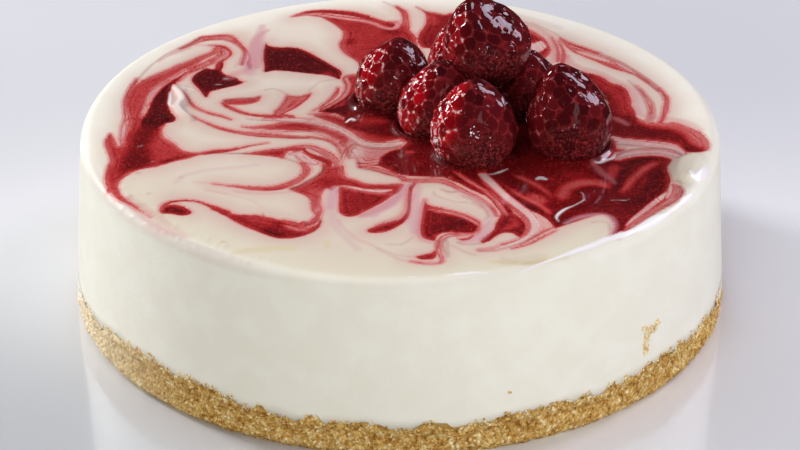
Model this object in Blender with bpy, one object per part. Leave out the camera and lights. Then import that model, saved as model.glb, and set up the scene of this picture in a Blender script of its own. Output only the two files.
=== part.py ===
"""A round raspberry cheesecake: a pressed biscuit crumb base, a set cream filling with a rounded rim,
and seven raspberries heaped on top. Metres, +Z up, origin at the centre of the foot."""

import math
import random

import bmesh
import bpy
from mathutils import Euler, Matrix, Vector

# Driving dimensions
HEIGHT = 0.0465            # table to the top of the cream
TOP_RADIUS = 0.0800        # the cream just under its rounded rim
FOOT_RADIUS = 0.0825       # the crumb base, a little wider because the cake has settled
CRUMB_HEIGHT = 0.0077      # usual height of the crumb base at the side
RIM_ROUND = 0.0032         # radius of the rounded rim
GAP = 0.00035              # clearance between touching pieces
SEGMENTS = 120             # facets round the cake
BED_FLAT_SHARE = 0.93      # the bed under the cream is flat out to this share of its radius
TOP_FLAT_SHARE = 0.90      # and the top of the cream out to this share of the rim's inner radius
FOOT_EDGE_IN = 0.0007      # the foot's edge is worn back by this much
SIDE_RING_HEIGHT = 0.028   # one ring half way up the cream's side
CRUMB_EDGE = FOOT_RADIUS + (TOP_RADIUS - FOOT_RADIUS) * CRUMB_HEIGHT / HEIGHT

# Where the crumbs stand higher or lower at the side: degrees round from the front towards +X, half width in
# degrees, and height in millimetres
CRUMB_SWELLS = [
    (-47, 15, 2.6), (8, 11, -0.9), (21, 5, 0.7), (47, 8, 0.8), (75, 10, -0.6), (-76, 8, -0.7),
    (112, 14, 1.2), (150, 9, -0.8), (-120, 12, 0.9), (-160, 16, -0.6),
]
CRUMB_RING_SHARES = (0.88, 0.62, 0.36, 0.10)   # rings of the lumpy side, as shares of its height
LUMP_OUT = (-0.00055, 0.00040)
LUMP_UP = 0.0003

# Raspberry sizes
DRUPELETS = 84             # on a whole berry, before its foot is cut flat
WIDEST_AT = 0.32           # share of a berry's height where it is widest
FOOT_DROP = 0.24           # how far below the foot the uncut berry would reach, as a share of its height
DOME_HEIGHT = 0.00070      # how far a drupelet stands over the valleys round it
DOME_SHOULDER = 0.72       # share of that height at the drupelet's shoulder
SHOULDER_INSET = 0.00068   # from a valley to the drupelet's shoulder
DOME_REACH = 0.00045       # how far the domes stand out past the berry's smooth outline
GOLDEN_ANGLE = math.pi * (3.0 - math.sqrt(5.0))

# Each berry: centre of its foot (x, y, z above the cream), radius and height in millimetres, lean in degrees
# towards +X and towards +Y, taper (0 round to 1 conical) and turn in degrees
BERRIES = {
    "raspberry_front": ((17.8, -15.4, 0.0), 10.75, 20.3, (2, 0), 0.8, 20),
    "raspberry_right": ((42.9, -11.6, 0.0), 10.5, 22.8, (-12, 3), 1.0, 75),
    "raspberry_middle": ((6.4, -1.4, 0.0), 9.0, 19.2, (24, 2), 0.2, 140),
    "raspberry_left": ((-4.4, 12.6, 0.0), 9.0, 19.4, (24, 0), 0.3, 200),
    "raspberry_behind_right": ((33.2, 7.2, 0.0), 9.0, 17.1, (-8, 4), 0.8, 260),
    "raspberry_behind_left": ((16.6, 21.6, 0.0), 9.1, 18.7, (-4, 8), 0.5, 310),
    "raspberry_top": ((23.6, 4.8, 13.6), 10.1, 19.6, (-24, 4), 0.5, 50),
}

# Where berries press together, the first is flattened against the second
PRESSED = [
    ("raspberry_middle", "raspberry_front"),
    ("raspberry_left", "raspberry_middle"),
    ("raspberry_behind_right", "raspberry_right"),
    ("raspberry_top", "raspberry_middle"),
    ("raspberry_top", "raspberry_front"),
    ("raspberry_top", "raspberry_behind_right"),
    ("raspberry_top", "raspberry_behind_left"),
]

MM = 0.001


def clear_scene():
    for obj in list(bpy.data.objects):
        bpy.data.objects.remove(obj)


def material(name, colour, roughness, coat=0.0):
    made = bpy.data.materials.new(name)
    made.use_nodes = True
    shader = made.node_tree.nodes["Principled BSDF"]
    shader.inputs["Base Color"].default_value = (*colour, 1.0)
    shader.inputs["Roughness"].default_value = roughness
    shader.inputs["Metallic"].default_value = 0.0
    shader.inputs["Coat Weight"].default_value = coat
    return made


def object_of(bm, name, finish, sharp_over):
    """Links a smooth-shaded object, with edges over sharp_over degrees kept sharp."""
    mesh = bpy.data.meshes.new(name)
    bm.to_mesh(mesh)
    bm.free()
    mesh.materials.append(finish)
    mesh.shade_smooth()
    mesh.set_sharp_from_angle(angle=math.radians(sharp_over))
    obj = bpy.data.objects.new(name, mesh)
    bpy.context.scene.collection.objects.link(obj)
    return obj


def ring(bm, radius, height):
    """A ring of vertices round Z. The radius and the height are numbers, or functions of the angle."""
    verts = []
    for k in range(SEGMENTS):
        angle = math.tau * k / SEGMENTS
        r = radius(angle) if callable(radius) else radius
        z = height(angle) if callable(height) else height
        verts.append(bm.verts.new((r * math.cos(angle), r * math.sin(angle), z)))
    return verts


def skin(bm, first, second):
    """A band of triangles between two rings, always split along the same diagonal."""
    for k in range(SEGMENTS):
        after = (k + 1) % SEGMENTS
        bm.faces.new((first[k], first[after], second[after]))
        bm.faces.new((first[k], second[after], second[k]))


def stacked(rings_of):
    """A closed body from a list of rings, flat at its first and its last ring."""
    bm = bmesh.new()
    rings = rings_of(bm)
    for first, second in zip(rings, rings[1:]):
        skin(bm, first, second)
    bm.faces.new(rings[0])
    bm.faces.new(rings[-1])
    bmesh.ops.recalc_face_normals(bm, faces=bm.faces[:])
    return bm


def side_radius(height):
    """The straight side leans in a little from the foot to the rim."""
    return FOOT_RADIUS + (TOP_RADIUS - FOOT_RADIUS) * height / HEIGHT


def crumb_line(angle):
    """How far the top edge of the crumbs stands over or under its usual height, round the cake."""
    ragged = (
        0.22 * math.sin(13 * angle + 4.0) + 0.24 * math.sin(29 * angle + 1.2) + 0.18 * math.sin(41 * angle)
    )
    round_from_front = math.degrees(angle) + 90.0
    for where, half_width, rise in CRUMB_SWELLS:
        away = (round_from_front - where + 180.0) % 360.0 - 180.0
        ragged += rise * math.exp(-((away / half_width) ** 2))
    return ragged * MM


def bed_rings(bm, lift):
    """The face between crumbs and cream: flat in the middle, wavy at the side, raised by lift."""
    return [
        ring(bm, CRUMB_EDGE * BED_FLAT_SHARE, CRUMB_HEIGHT + lift),
        ring(bm, CRUMB_EDGE, lambda angle: CRUMB_HEIGHT + crumb_line(angle) + lift),
    ]


def crumb_base():
    """The pressed biscuit base: flat underneath, crumbly at the side, with a ragged top edge."""
    lumps = random.Random(11)

    def crumbly(share):
        return (
            lambda angle: side_radius(CRUMB_HEIGHT * share) + lumps.uniform(*LUMP_OUT),
            lambda angle: (CRUMB_HEIGHT + crumb_line(angle)) * share + lumps.uniform(-LUMP_UP, LUMP_UP),
        )

    def rings_of(bm):
        side = [ring(bm, *crumbly(share)) for share in CRUMB_RING_SHARES]
        return [*bed_rings(bm, 0.0), *side, ring(bm, FOOT_RADIUS - FOOT_EDGE_IN, 0.0)]

    finish = material("biscuit crumb", (0.62, 0.40, 0.17), 0.85)
    return object_of(stacked(rings_of), "biscuit_base", finish, 180)


def rim_sag(angle):
    """The rim is smoothed by hand, a little lower in some places than in others."""
    return (0.30 * math.sin(2 * angle + 1.9) + 0.22 * math.sin(5 * angle + 0.4) - 0.2) * MM


def cream_filling():
    """The set cream: it sits on the crumbs, leans in to a rounded rim, and is flat on top."""
    shoulder = HEIGHT - RIM_ROUND
    inner = TOP_RADIUS - RIM_ROUND

    def rounded(turn):
        reach = inner + RIM_ROUND * math.cos(turn)
        rise = shoulder + RIM_ROUND * math.sin(turn)
        return reach, lambda angle: rise + math.sin(turn) * rim_sag(angle)

    def rings_of(bm):
        rounding = [ring(bm, *rounded(math.radians(step))) for step in (0, 30, 60, 90)]
        side = ring(bm, side_radius(SIDE_RING_HEIGHT), SIDE_RING_HEIGHT)
        return [*bed_rings(bm, GAP), side, *rounding, ring(bm, inner * TOP_FLAT_SHARE, HEIGHT)]

    finish = material("set cream", (0.90, 0.86, 0.75), 0.38)
    return object_of(stacked(rings_of), "cream_filling", finish, 40)


def berry_radius(share, taper):
    """Radius of a berry at a share of its height, for a berry of radius 1: a blunt cone, widest low down."""
    if share > WIDEST_AT:
        up = (share - WIDEST_AT) / (1 - WIDEST_AT)
        return max(0.0, 1 - up ** (1.9 - 0.5 * taper)) ** (0.56 + 0.2 * taper)
    down = (WIDEST_AT - share) / (WIDEST_AT + FOOT_DROP)
    return max(0.0, 1 - down ** 2.2) ** 0.5


def berry_point(share, angle, radius, height, taper):
    reach = radius * berry_radius(share, taper)
    return Vector((reach * math.cos(angle), reach * math.sin(angle), height * share))


def shares_of_equal_area(radius, height, taper, count):
    """Heights, as shares, that cut the berry's skin into rings of equal area, one for each drupelet."""
    steps = 400
    heights = [-FOOT_DROP + (1 + FOOT_DROP) * i / steps for i in range(steps + 1)]
    skin_points = [berry_point(share, 0, radius, height, taper) for share in heights]
    area = [0.0]
    for low, high in zip(skin_points, skin_points[1:]):
        area.append(area[-1] + (high - low).length * (low.x + high.x) / 2)
    found, i = [], 0
    for k in range(count):
        wanted = area[-1] * (k + 0.5) / count
        while area[i + 1] < wanted:
            i += 1
        part = (wanted - area[i]) / (area[i + 1] - area[i])
        found.append(heights[i] + part * (heights[i + 1] - heights[i]))
    return found


def drupelet_centres(radius, height, taper, turn):
    """A spiral of points over the berry's skin, as drupelets grow."""
    return [
        berry_point(share, GOLDEN_ANGLE * k + turn, radius, height, taper)
        for k, share in enumerate(shares_of_equal_area(radius, height, taper, DRUPELETS))
    ]


def drupelet_cells(centres):
    """A bmesh with one many-sided face for each drupelet: the corners are where three drupelets meet."""
    hull = bmesh.new()
    for point in centres:
        hull.verts.new(point)
    bmesh.ops.convex_hull(hull, input=hull.verts[:])
    bmesh.ops.triangulate(hull, faces=hull.faces[:])
    hull.faces.ensure_lookup_table()
    cells = bmesh.new()
    corner = {face.index: cells.verts.new(face.calc_center_median()) for face in hull.faces}
    for vert in hull.verts:
        normal = vert.normal
        along = (vert.link_faces[0].calc_center_median() - vert.co).cross(normal).normalized()
        across = normal.cross(along)

        def bearing(face):
            to_face = face.calc_center_median() - vert.co
            return math.atan2(to_face.dot(across), to_face.dot(along))

        around = sorted(vert.link_faces, key=bearing)
        cells.faces.new([corner[face.index] for face in around])
    hull.free()
    bmesh.ops.recalc_face_normals(cells, faces=cells.faces[:])
    return cells


def grown_berry(radius, height, taper, turn):
    """A bmesh of one whole berry: every cell of its skin is raised to a faceted dome."""
    bm = drupelet_cells(drupelet_centres(radius, height, taper, math.radians(turn)))
    shoulders = bmesh.ops.inset_individual(
        bm, faces=bm.faces[:], thickness=SHOULDER_INSET, depth=DOME_HEIGHT * DOME_SHOULDER,
        use_even_offset=True,
    )
    rims = set(shoulders["faces"])
    tops = [face for face in bm.faces if face not in rims]
    bmesh.ops.poke(bm, faces=tops, offset=DOME_HEIGHT * (1 - DOME_SHOULDER), center_mode="MEAN")
    bmesh.ops.triangulate(bm, faces=bm.faces[:])
    return bm


def cut_foot(bm, point, normal):
    """Cuts away what lies under the plane and closes the flat foot."""
    cut = bmesh.ops.bisect_plane(
        bm, geom=bm.verts[:] + bm.edges[:] + bm.faces[:], dist=1e-6,
        plane_co=point, plane_no=normal, clear_inner=True,
    )
    loop = [edge for edge in cut["geom_cut"] if isinstance(edge, bmesh.types.BMEdge)]
    bmesh.ops.edgeloop_fill(bm, edges=loop)
    bmesh.ops.recalc_face_normals(bm, faces=bm.faces[:])


def place_of(foot, lean):
    """The berry leans about the centre of its foot."""
    x, y, z = (value * MM for value in foot)
    tilt = Euler((math.radians(-lean[1]), math.radians(lean[0]), 0)).to_matrix().to_4x4()
    return Matrix.Translation((x, y, HEIGHT + GAP + z)) @ tilt


def reach_of(name, radius, height, taper, place):
    """A helper: the outer reach of a berry plus the gap, which its neighbours are cut back from."""
    bm = bmesh.new()
    reach = DOME_REACH + GAP
    rows, columns = 14, 28
    rings = []
    for i in range(rows):
        share = -FOOT_DROP + (1 + FOOT_DROP) * (0.5 - 0.5 * math.cos(math.pi * (i + 0.5) / rows))
        rings.append([
            bm.verts.new(berry_point(share, math.tau * k / columns, radius + reach, height + reach, taper))
            for k in range(columns)
        ])
    for low, high in zip(rings, rings[1:]):
        for k in range(columns):
            after = (k + 1) % columns
            bm.faces.new((low[k], low[after], high[after], high[k]))
    bm.faces.new(rings[0])
    bm.faces.new(rings[-1])
    bmesh.ops.recalc_face_normals(bm, faces=bm.faces[:])
    bm.transform(place)
    mesh = bpy.data.meshes.new(name)
    bm.to_mesh(mesh)
    bm.free()
    helper = bpy.data.objects.new(name, mesh)
    helper.hide_render = True
    helper.display_type = "WIRE"
    bpy.context.scene.collection.objects.link(helper)
    return helper


def raspberries():
    finish = material("glazed raspberry", (0.30, 0.010, 0.022), 0.18, coat=1.0)
    made, reaches = {}, {}
    for name, (foot, radius, height, lean, taper, turn) in BERRIES.items():
        place = place_of(foot, lean)
        bm = grown_berry(radius * MM, height * MM, taper, turn)
        bm.transform(place)
        standing_on_cream = foot[2] == 0
        up = Vector((0, 0, 1)) if standing_on_cream else place.to_3x3() @ Vector((0, 0, 1))
        cut_foot(bm, place.translation, up)
        made[name] = object_of(bm, name, finish, 60)
        if any(other == name for _, other in PRESSED):
            reaches[name] = reach_of(f"reach_of_{name}", radius * MM, height * MM, taper, place)
    for name, other in PRESSED:
        press = made[name].modifiers.new(f"pressed on {other}", "BOOLEAN")
        press.operation = "DIFFERENCE"
        press.solver = "EXACT"
        press.object = reaches[other]


clear_scene()
crumb_base()
cream_filling()
raspberries()
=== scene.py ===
# %% [markdown]
# # A raspberry cheesecake
# A round cheesecake: a pressed biscuit base, a set cream filling marbled on top with raspberry sauce, and
# seven glazed raspberries in a heap. The lesson dresses a finished CAD model: every piece made here takes
# the place of one of its solids. Lengths are in metres, and the cake's foot is centred on the origin. The
# camera looks along +Y, so +X is to its right.

# %% The frame
import math

import bpy
import numpy as np
from mathutils import Matrix, Vector
from mathutils.kdtree import KDTree


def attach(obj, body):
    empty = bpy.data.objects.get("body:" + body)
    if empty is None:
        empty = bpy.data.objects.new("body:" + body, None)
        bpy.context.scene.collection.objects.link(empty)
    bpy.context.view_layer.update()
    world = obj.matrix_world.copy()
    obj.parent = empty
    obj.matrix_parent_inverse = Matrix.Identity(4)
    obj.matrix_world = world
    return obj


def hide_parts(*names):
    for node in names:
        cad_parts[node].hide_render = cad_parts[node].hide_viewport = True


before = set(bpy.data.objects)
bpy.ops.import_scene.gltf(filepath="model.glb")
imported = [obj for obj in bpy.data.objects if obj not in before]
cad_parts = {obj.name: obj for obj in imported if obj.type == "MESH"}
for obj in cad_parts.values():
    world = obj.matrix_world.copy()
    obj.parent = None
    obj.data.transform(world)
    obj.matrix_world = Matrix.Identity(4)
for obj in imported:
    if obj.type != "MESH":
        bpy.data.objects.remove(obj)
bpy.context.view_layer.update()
MM = 0.001
print("nodes:", sorted(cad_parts))

# %% [markdown]
# ## Sizes of the cake
# Each size is a driving dimension of the CAD model, so the new pieces fall on the solids that they
# replace. The side leans in a little, and the rim is rounded by hand.

# %% Sizes
HEIGHT = 46.5          # mm, table to the top of the cream
TOP_RADIUS = 80.0
FOOT_RADIUS = 82.5
CRUMB_HEIGHT = 7.7     # the crumbs' top edge, on the whole
RIM_ROUND = 3.2        # radius of the rounded rim
GAP = 0.35             # left between the base, the filling and the berries
# Where the crumbs reach higher or lower: degrees from the front, half the width in degrees, rise in mm
CRUMB_SWELLS = [
    (-47, 15, 2.6), (8, 11, -0.9), (21, 5, 0.7), (47, 8, 0.8), (75, 10, -0.6), (-76, 8, -0.7),
    (112, 14, 1.2), (150, 9, -0.8), (-120, 12, 0.9), (-160, 16, -0.6),
]


def side_radius(height):
    return FOOT_RADIUS + (TOP_RADIUS - FOOT_RADIUS) * height / HEIGHT


def degrees_from_front(angle):
    """-180 to 180, from the front of the cake, for angles in radians from +X."""
    return (np.degrees(angle) + 270.0) % 360.0 - 180.0


def crumb_line(angle):
    """Height of the crumbs' top edge round the cake, in mm. angle is an array, in radians from +X."""
    line = 0.22 * np.sin(13 * angle + 4.0) + 0.24 * np.sin(29 * angle + 1.2) + 0.18 * np.sin(41 * angle)
    for where, half_width, rise in CRUMB_SWELLS:
        away = (degrees_from_front(angle) - where + 180.0) % 360.0 - 180.0
        line = line + rise * np.exp(-((away / half_width) ** 2))
    return CRUMB_HEIGHT + line


def rim_sag(angle):
    """How much the rounded rim rises above its even height, in mm."""
    return 0.30 * np.sin(2 * angle + 1.9) + 0.22 * np.sin(5 * angle + 0.4) - 0.2


print("the crumbs reach", round(float(crumb_line(np.radians(-137.0))), 1), "mm at the front left")

# %% [markdown]
# ## Camera
# The photograph was taken with a long lens from a little way above the table. The angle and the distance
# come from the ellipse of the cake's top and of its foot.

# %% Camera
camera_data = bpy.data.cameras.new("camera")
camera_data.lens = 151.4
camera_data.sensor_width = 36.0
camera_data.clip_start = 0.05
camera = bpy.data.objects.new("camera", camera_data)
camera.location = (0.0, -0.7523, 0.4264)
camera.rotation_euler = (math.radians(61.5), 0.0, 0.0)
bpy.context.scene.collection.objects.link(camera)
bpy.context.scene.camera = camera

# %% [markdown]
# ## Helpers for meshes
# A Blender operator acts on all that is selected, and the CAD solids come in selected. So each new piece
# starts with everything deselected, is made by an operator, and then has its points moved by numpy.

# %% Mesh helpers
RANDOM = np.random.default_rng(7)


def start_alone():
    """Leaves edit mode and deselects everything, so that the next operator acts on its own piece only."""
    if bpy.context.object and bpy.context.object.mode != "OBJECT":
        bpy.ops.object.mode_set(mode="OBJECT")
    bpy.ops.object.select_all(action="DESELECT")


def points_of(obj):
    found = np.empty(len(obj.data.vertices) * 3, "f4")
    obj.data.vertices.foreach_get("co", found)
    return found.reshape(-1, 3).astype(float)


def move_points(obj, points):
    obj.data.vertices.foreach_set("co", np.asarray(points, "f4").ravel())
    obj.data.update()


def put_value(obj, name, values):
    """Stores one number for each point, for a material to read by its name."""
    layer = obj.data.attributes.new(name, "FLOAT", "POINT")
    layer.data.foreach_set("value", np.asarray(values, "f4"))


def triangles(obj):
    return sum(len(face.vertices) - 2 for face in obj.data.polygons)


def ease(low, high, value):
    """Goes smoothly from 0 at low to 1 at high."""
    t = np.clip((value - low) / (high - low), 0.0, 1.0)
    return t * t * (3.0 - 2.0 * t)


def waves(points, size, seed, octaves=3):
    """Soft random hills, mostly from -1 to 1: sine waves of random direction. size is the longest one."""
    source = np.random.default_rng(seed)
    total = np.zeros(len(points))
    for octave in range(octaves):
        for _ in range(6):
            direction = source.normal(size=points.shape[1])
            direction *= math.tau * 2.0 ** octave / (size * np.linalg.norm(direction))
            total += np.sin(points @ direction + source.uniform(0, math.tau)) / (6 * 1.6 ** octave)
    return total


def round_the_side(angle, *heights):
    """Places on the cake's side, so that hills run on round it without a seam."""
    return np.column_stack([np.cos(angle) * TOP_RADIUS, np.sin(angle) * TOP_RADIUS, *heights])


# %% [markdown]
# ## Helpers for materials
# Blender's shader nodes are sums on values that change over a surface. `Wire` wraps one socket, so a sum
# can be written as a sum, and every operator adds one Math node.

# %% Material helpers
class Wire:
    """A socket of a node tree, with Python's operators."""

    def __init__(self, finish, socket):
        self.finish = finish
        self.socket = socket

    def math(self, operation, *values, clamp=False):
        return self.finish.node("ShaderNodeMath", {"operation": operation, "use_clamp": clamp}, *values)

    def __add__(self, other):
        return self.math("ADD", self, other)

    def __sub__(self, other):
        return self.math("SUBTRACT", self, other)

    def __rsub__(self, other):
        return self.math("SUBTRACT", other, self)

    def __mul__(self, other):
        return self.math("MULTIPLY", self, other)

    __radd__ = __add__
    __rmul__ = __mul__

    def clamped(self):
        return self.math("ADD", self, 0.0, clamp=True)

    def ease(self, low, high):
        """0 below low, 1 above high, smooth between. low may be the larger."""
        settings = {"interpolation_type": "SMOOTHSTEP"}
        if low < high:
            return self.finish.node("ShaderNodeMapRange", settings, self, low, high, 0.0, 1.0)
        return self.finish.node("ShaderNodeMapRange", settings, self, high, low, 1.0, 0.0)


def rgb(red, green, blue):
    """A colour as a paint chart or a photo editor gives it, from 0 to 255, made linear for Blender."""
    made = []
    for value in (red, green, blue):
        share = value / 255.0
        made.append(share / 12.92 if share <= 0.04045 else ((share + 0.055) / 1.055) ** 2.4)
    return (*made, 1.0)


class Finish:
    """A material under construction."""

    def __init__(self, name, **constants):
        self.material = bpy.data.materials.new(name)
        self.material.use_nodes = True
        self.tree = self.material.node_tree
        self.shader = self.tree.nodes["Principled BSDF"]
        for label, value in constants.items():
            self.shader.inputs[label.replace("_", " ").title().replace("Ior", "IOR")].default_value = value

    def node(self, kind, settings=None, *values, output=0, **named):
        """Any node, from its type, its settings, and the values or links of its sockets."""
        made = self.tree.nodes.new(kind)
        for label, value in (settings or {}).items():
            if label == "stops":
                ramp = made.color_ramp
                for place, colour in value[1:-1]:
                    ramp.elements.new(place)
                for element, (place, colour) in zip(ramp.elements, value):
                    element.position = place
                    element.color = colour
            else:
                setattr(made, label, value)
        pairs = list(zip(made.inputs, values))
        pairs += [(made.inputs[label.replace("_", " ")], value) for label, value in named.items()]
        for socket, value in pairs:
            if isinstance(value, Wire):
                self.tree.links.new(value.socket, socket)
            elif value is not None:
                socket.default_value = value
        return Wire(self, made.outputs[output])

    def value(self, name):
        """A number that the mesh stores for each of its points."""
        return self.node("ShaderNodeAttribute", {"attribute_name": name}, output=2)

    def place(self):
        """Where a point lies in its own object, in metres."""
        return self.node("ShaderNodeTexCoord", output=3)

    def noise(self, size_mm, detail=3.0, roughness=0.55):
        """Random clouds from 0 to 1. size_mm is roughly how far apart they are."""
        return self.node("ShaderNodeTexNoise", None, Vector=self.place(), Scale=1.0 / (size_mm * MM),
                         Detail=detail, Roughness=roughness)

    def mix(self, share, first, second):
        """first where share is 0, second where it is 1. Both are colours."""
        made = self.tree.nodes.new("ShaderNodeMix")
        made.data_type = "RGBA"
        for socket, value in ((made.inputs[0], share), (made.inputs[6], first), (made.inputs[7], second)):
            if isinstance(value, Wire):
                self.tree.links.new(value.socket, socket)
            else:
                socket.default_value = value
        return Wire(self, made.outputs[2])

    def ramp(self, value, *stops):
        return self.node("ShaderNodeValToRGB", {"stops": list(stops)}, value)

    def bump(self, height, depth_mm, strength=1.0):
        return self.node("ShaderNodeBump", None, Strength=strength, Distance=depth_mm * MM, Height=height)

    def set(self, **wires):
        for label, wire in wires.items():
            self.tree.links.new(wire.socket, self.shader.inputs[label.replace("_", " ")])
        return self.material


def dress(obj, finish, node_names):
    """Gives a piece its finish, hides the solids that it stands for, and lets it move with the cake."""
    obj.data.materials.clear()
    obj.data.materials.append(finish)
    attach(obj, "root")
    if node_names:
        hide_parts(*node_names)
    print(obj.name, "has", triangles(obj), "triangles")


# %% [markdown]
# ## Reading the marbling
# The sauce is drawn into the cream with the tip of a stick, which leaves long tapering bands, thin veins
# and pools. A noise texture can't make those, so they are drawn as strokes. Each stroke has a
# kind, a value and its points in millimetres, seen from above. A pool is a smooth outline. A band is a
# smooth line, and the third number of each of its points is half the width there. Their value is a tone:
# 0 is plain cream, 0.15 pale pink, 0.3 rose, 0.45 salmon, 0.62 red, 0.87 dark red and 1 nearly black.

# %% Curves
def numbers(text):
    """The points of a stroke, one row for each."""
    return np.array([[float(v) for v in point.split()] for point in text.split(",")])


def smooth_line(points, closed=False, steps=6):
    """A curve through all the points (Catmull-Rom)."""
    if closed:
        ring = np.vstack([points[-1], points, points[0], points[1]])
    else:
        ring = np.vstack([2 * points[0] - points[1], points, 2 * points[-1] - points[-2]])
    t = np.linspace(0, 1, steps, endpoint=False)[:, None]
    a, b, c, d = (ring[i:len(ring) - 3 + i][:, None, :] for i in range(4))
    curve = 0.5 * (2 * b + (c - a) * t + (2 * a - 5 * b + 4 * c - d) * t**2 + (3 * b - a - 3 * c + d) * t**3)
    curve = curve.reshape(-1, points.shape[1])
    return curve if closed else np.vstack([curve, points[-1]])


def depth_in_line(where, line):
    """How deep each place lies inside a band of changing width: positive inside, negative outside."""
    start, end = line[:-1], line[1:]
    along = end[:, :2] - start[:, :2]
    length = np.maximum((along**2).sum(1), 1e-9)
    from_start = where[:, None, :] - start[None, :, :2]
    share = np.clip((from_start * along).sum(2) / length, 0.0, 1.0)
    gap = np.linalg.norm(from_start - share[..., None] * along, axis=2)
    width = start[:, 2] + share * (end[:, 2] - start[:, 2])
    return (width - gap).max(1)


def depth_in_pool(where, outline):
    """How deep each place lies inside a closed outline."""
    after = np.roll(outline, -1, 0)
    line = np.column_stack([np.vstack([outline, outline[0]]), np.zeros(len(outline) + 1)])
    distance = -depth_in_line(where, line)
    crosses = (outline[:, 1] > where[:, 1:]) != (after[:, 1] > where[:, 1:])
    climb = np.where(after[:, 1] == outline[:, 1], 1e-9, after[:, 1] - outline[:, 1])
    slope = (after[:, 0] - outline[:, 0]) / climb
    left = where[:, :1] < outline[:, 0] + slope * (where[:, 1:] - outline[:, 1])
    inside = (crosses & left).sum(1) % 2 == 1
    return np.where(inside, distance, -distance)
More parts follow.
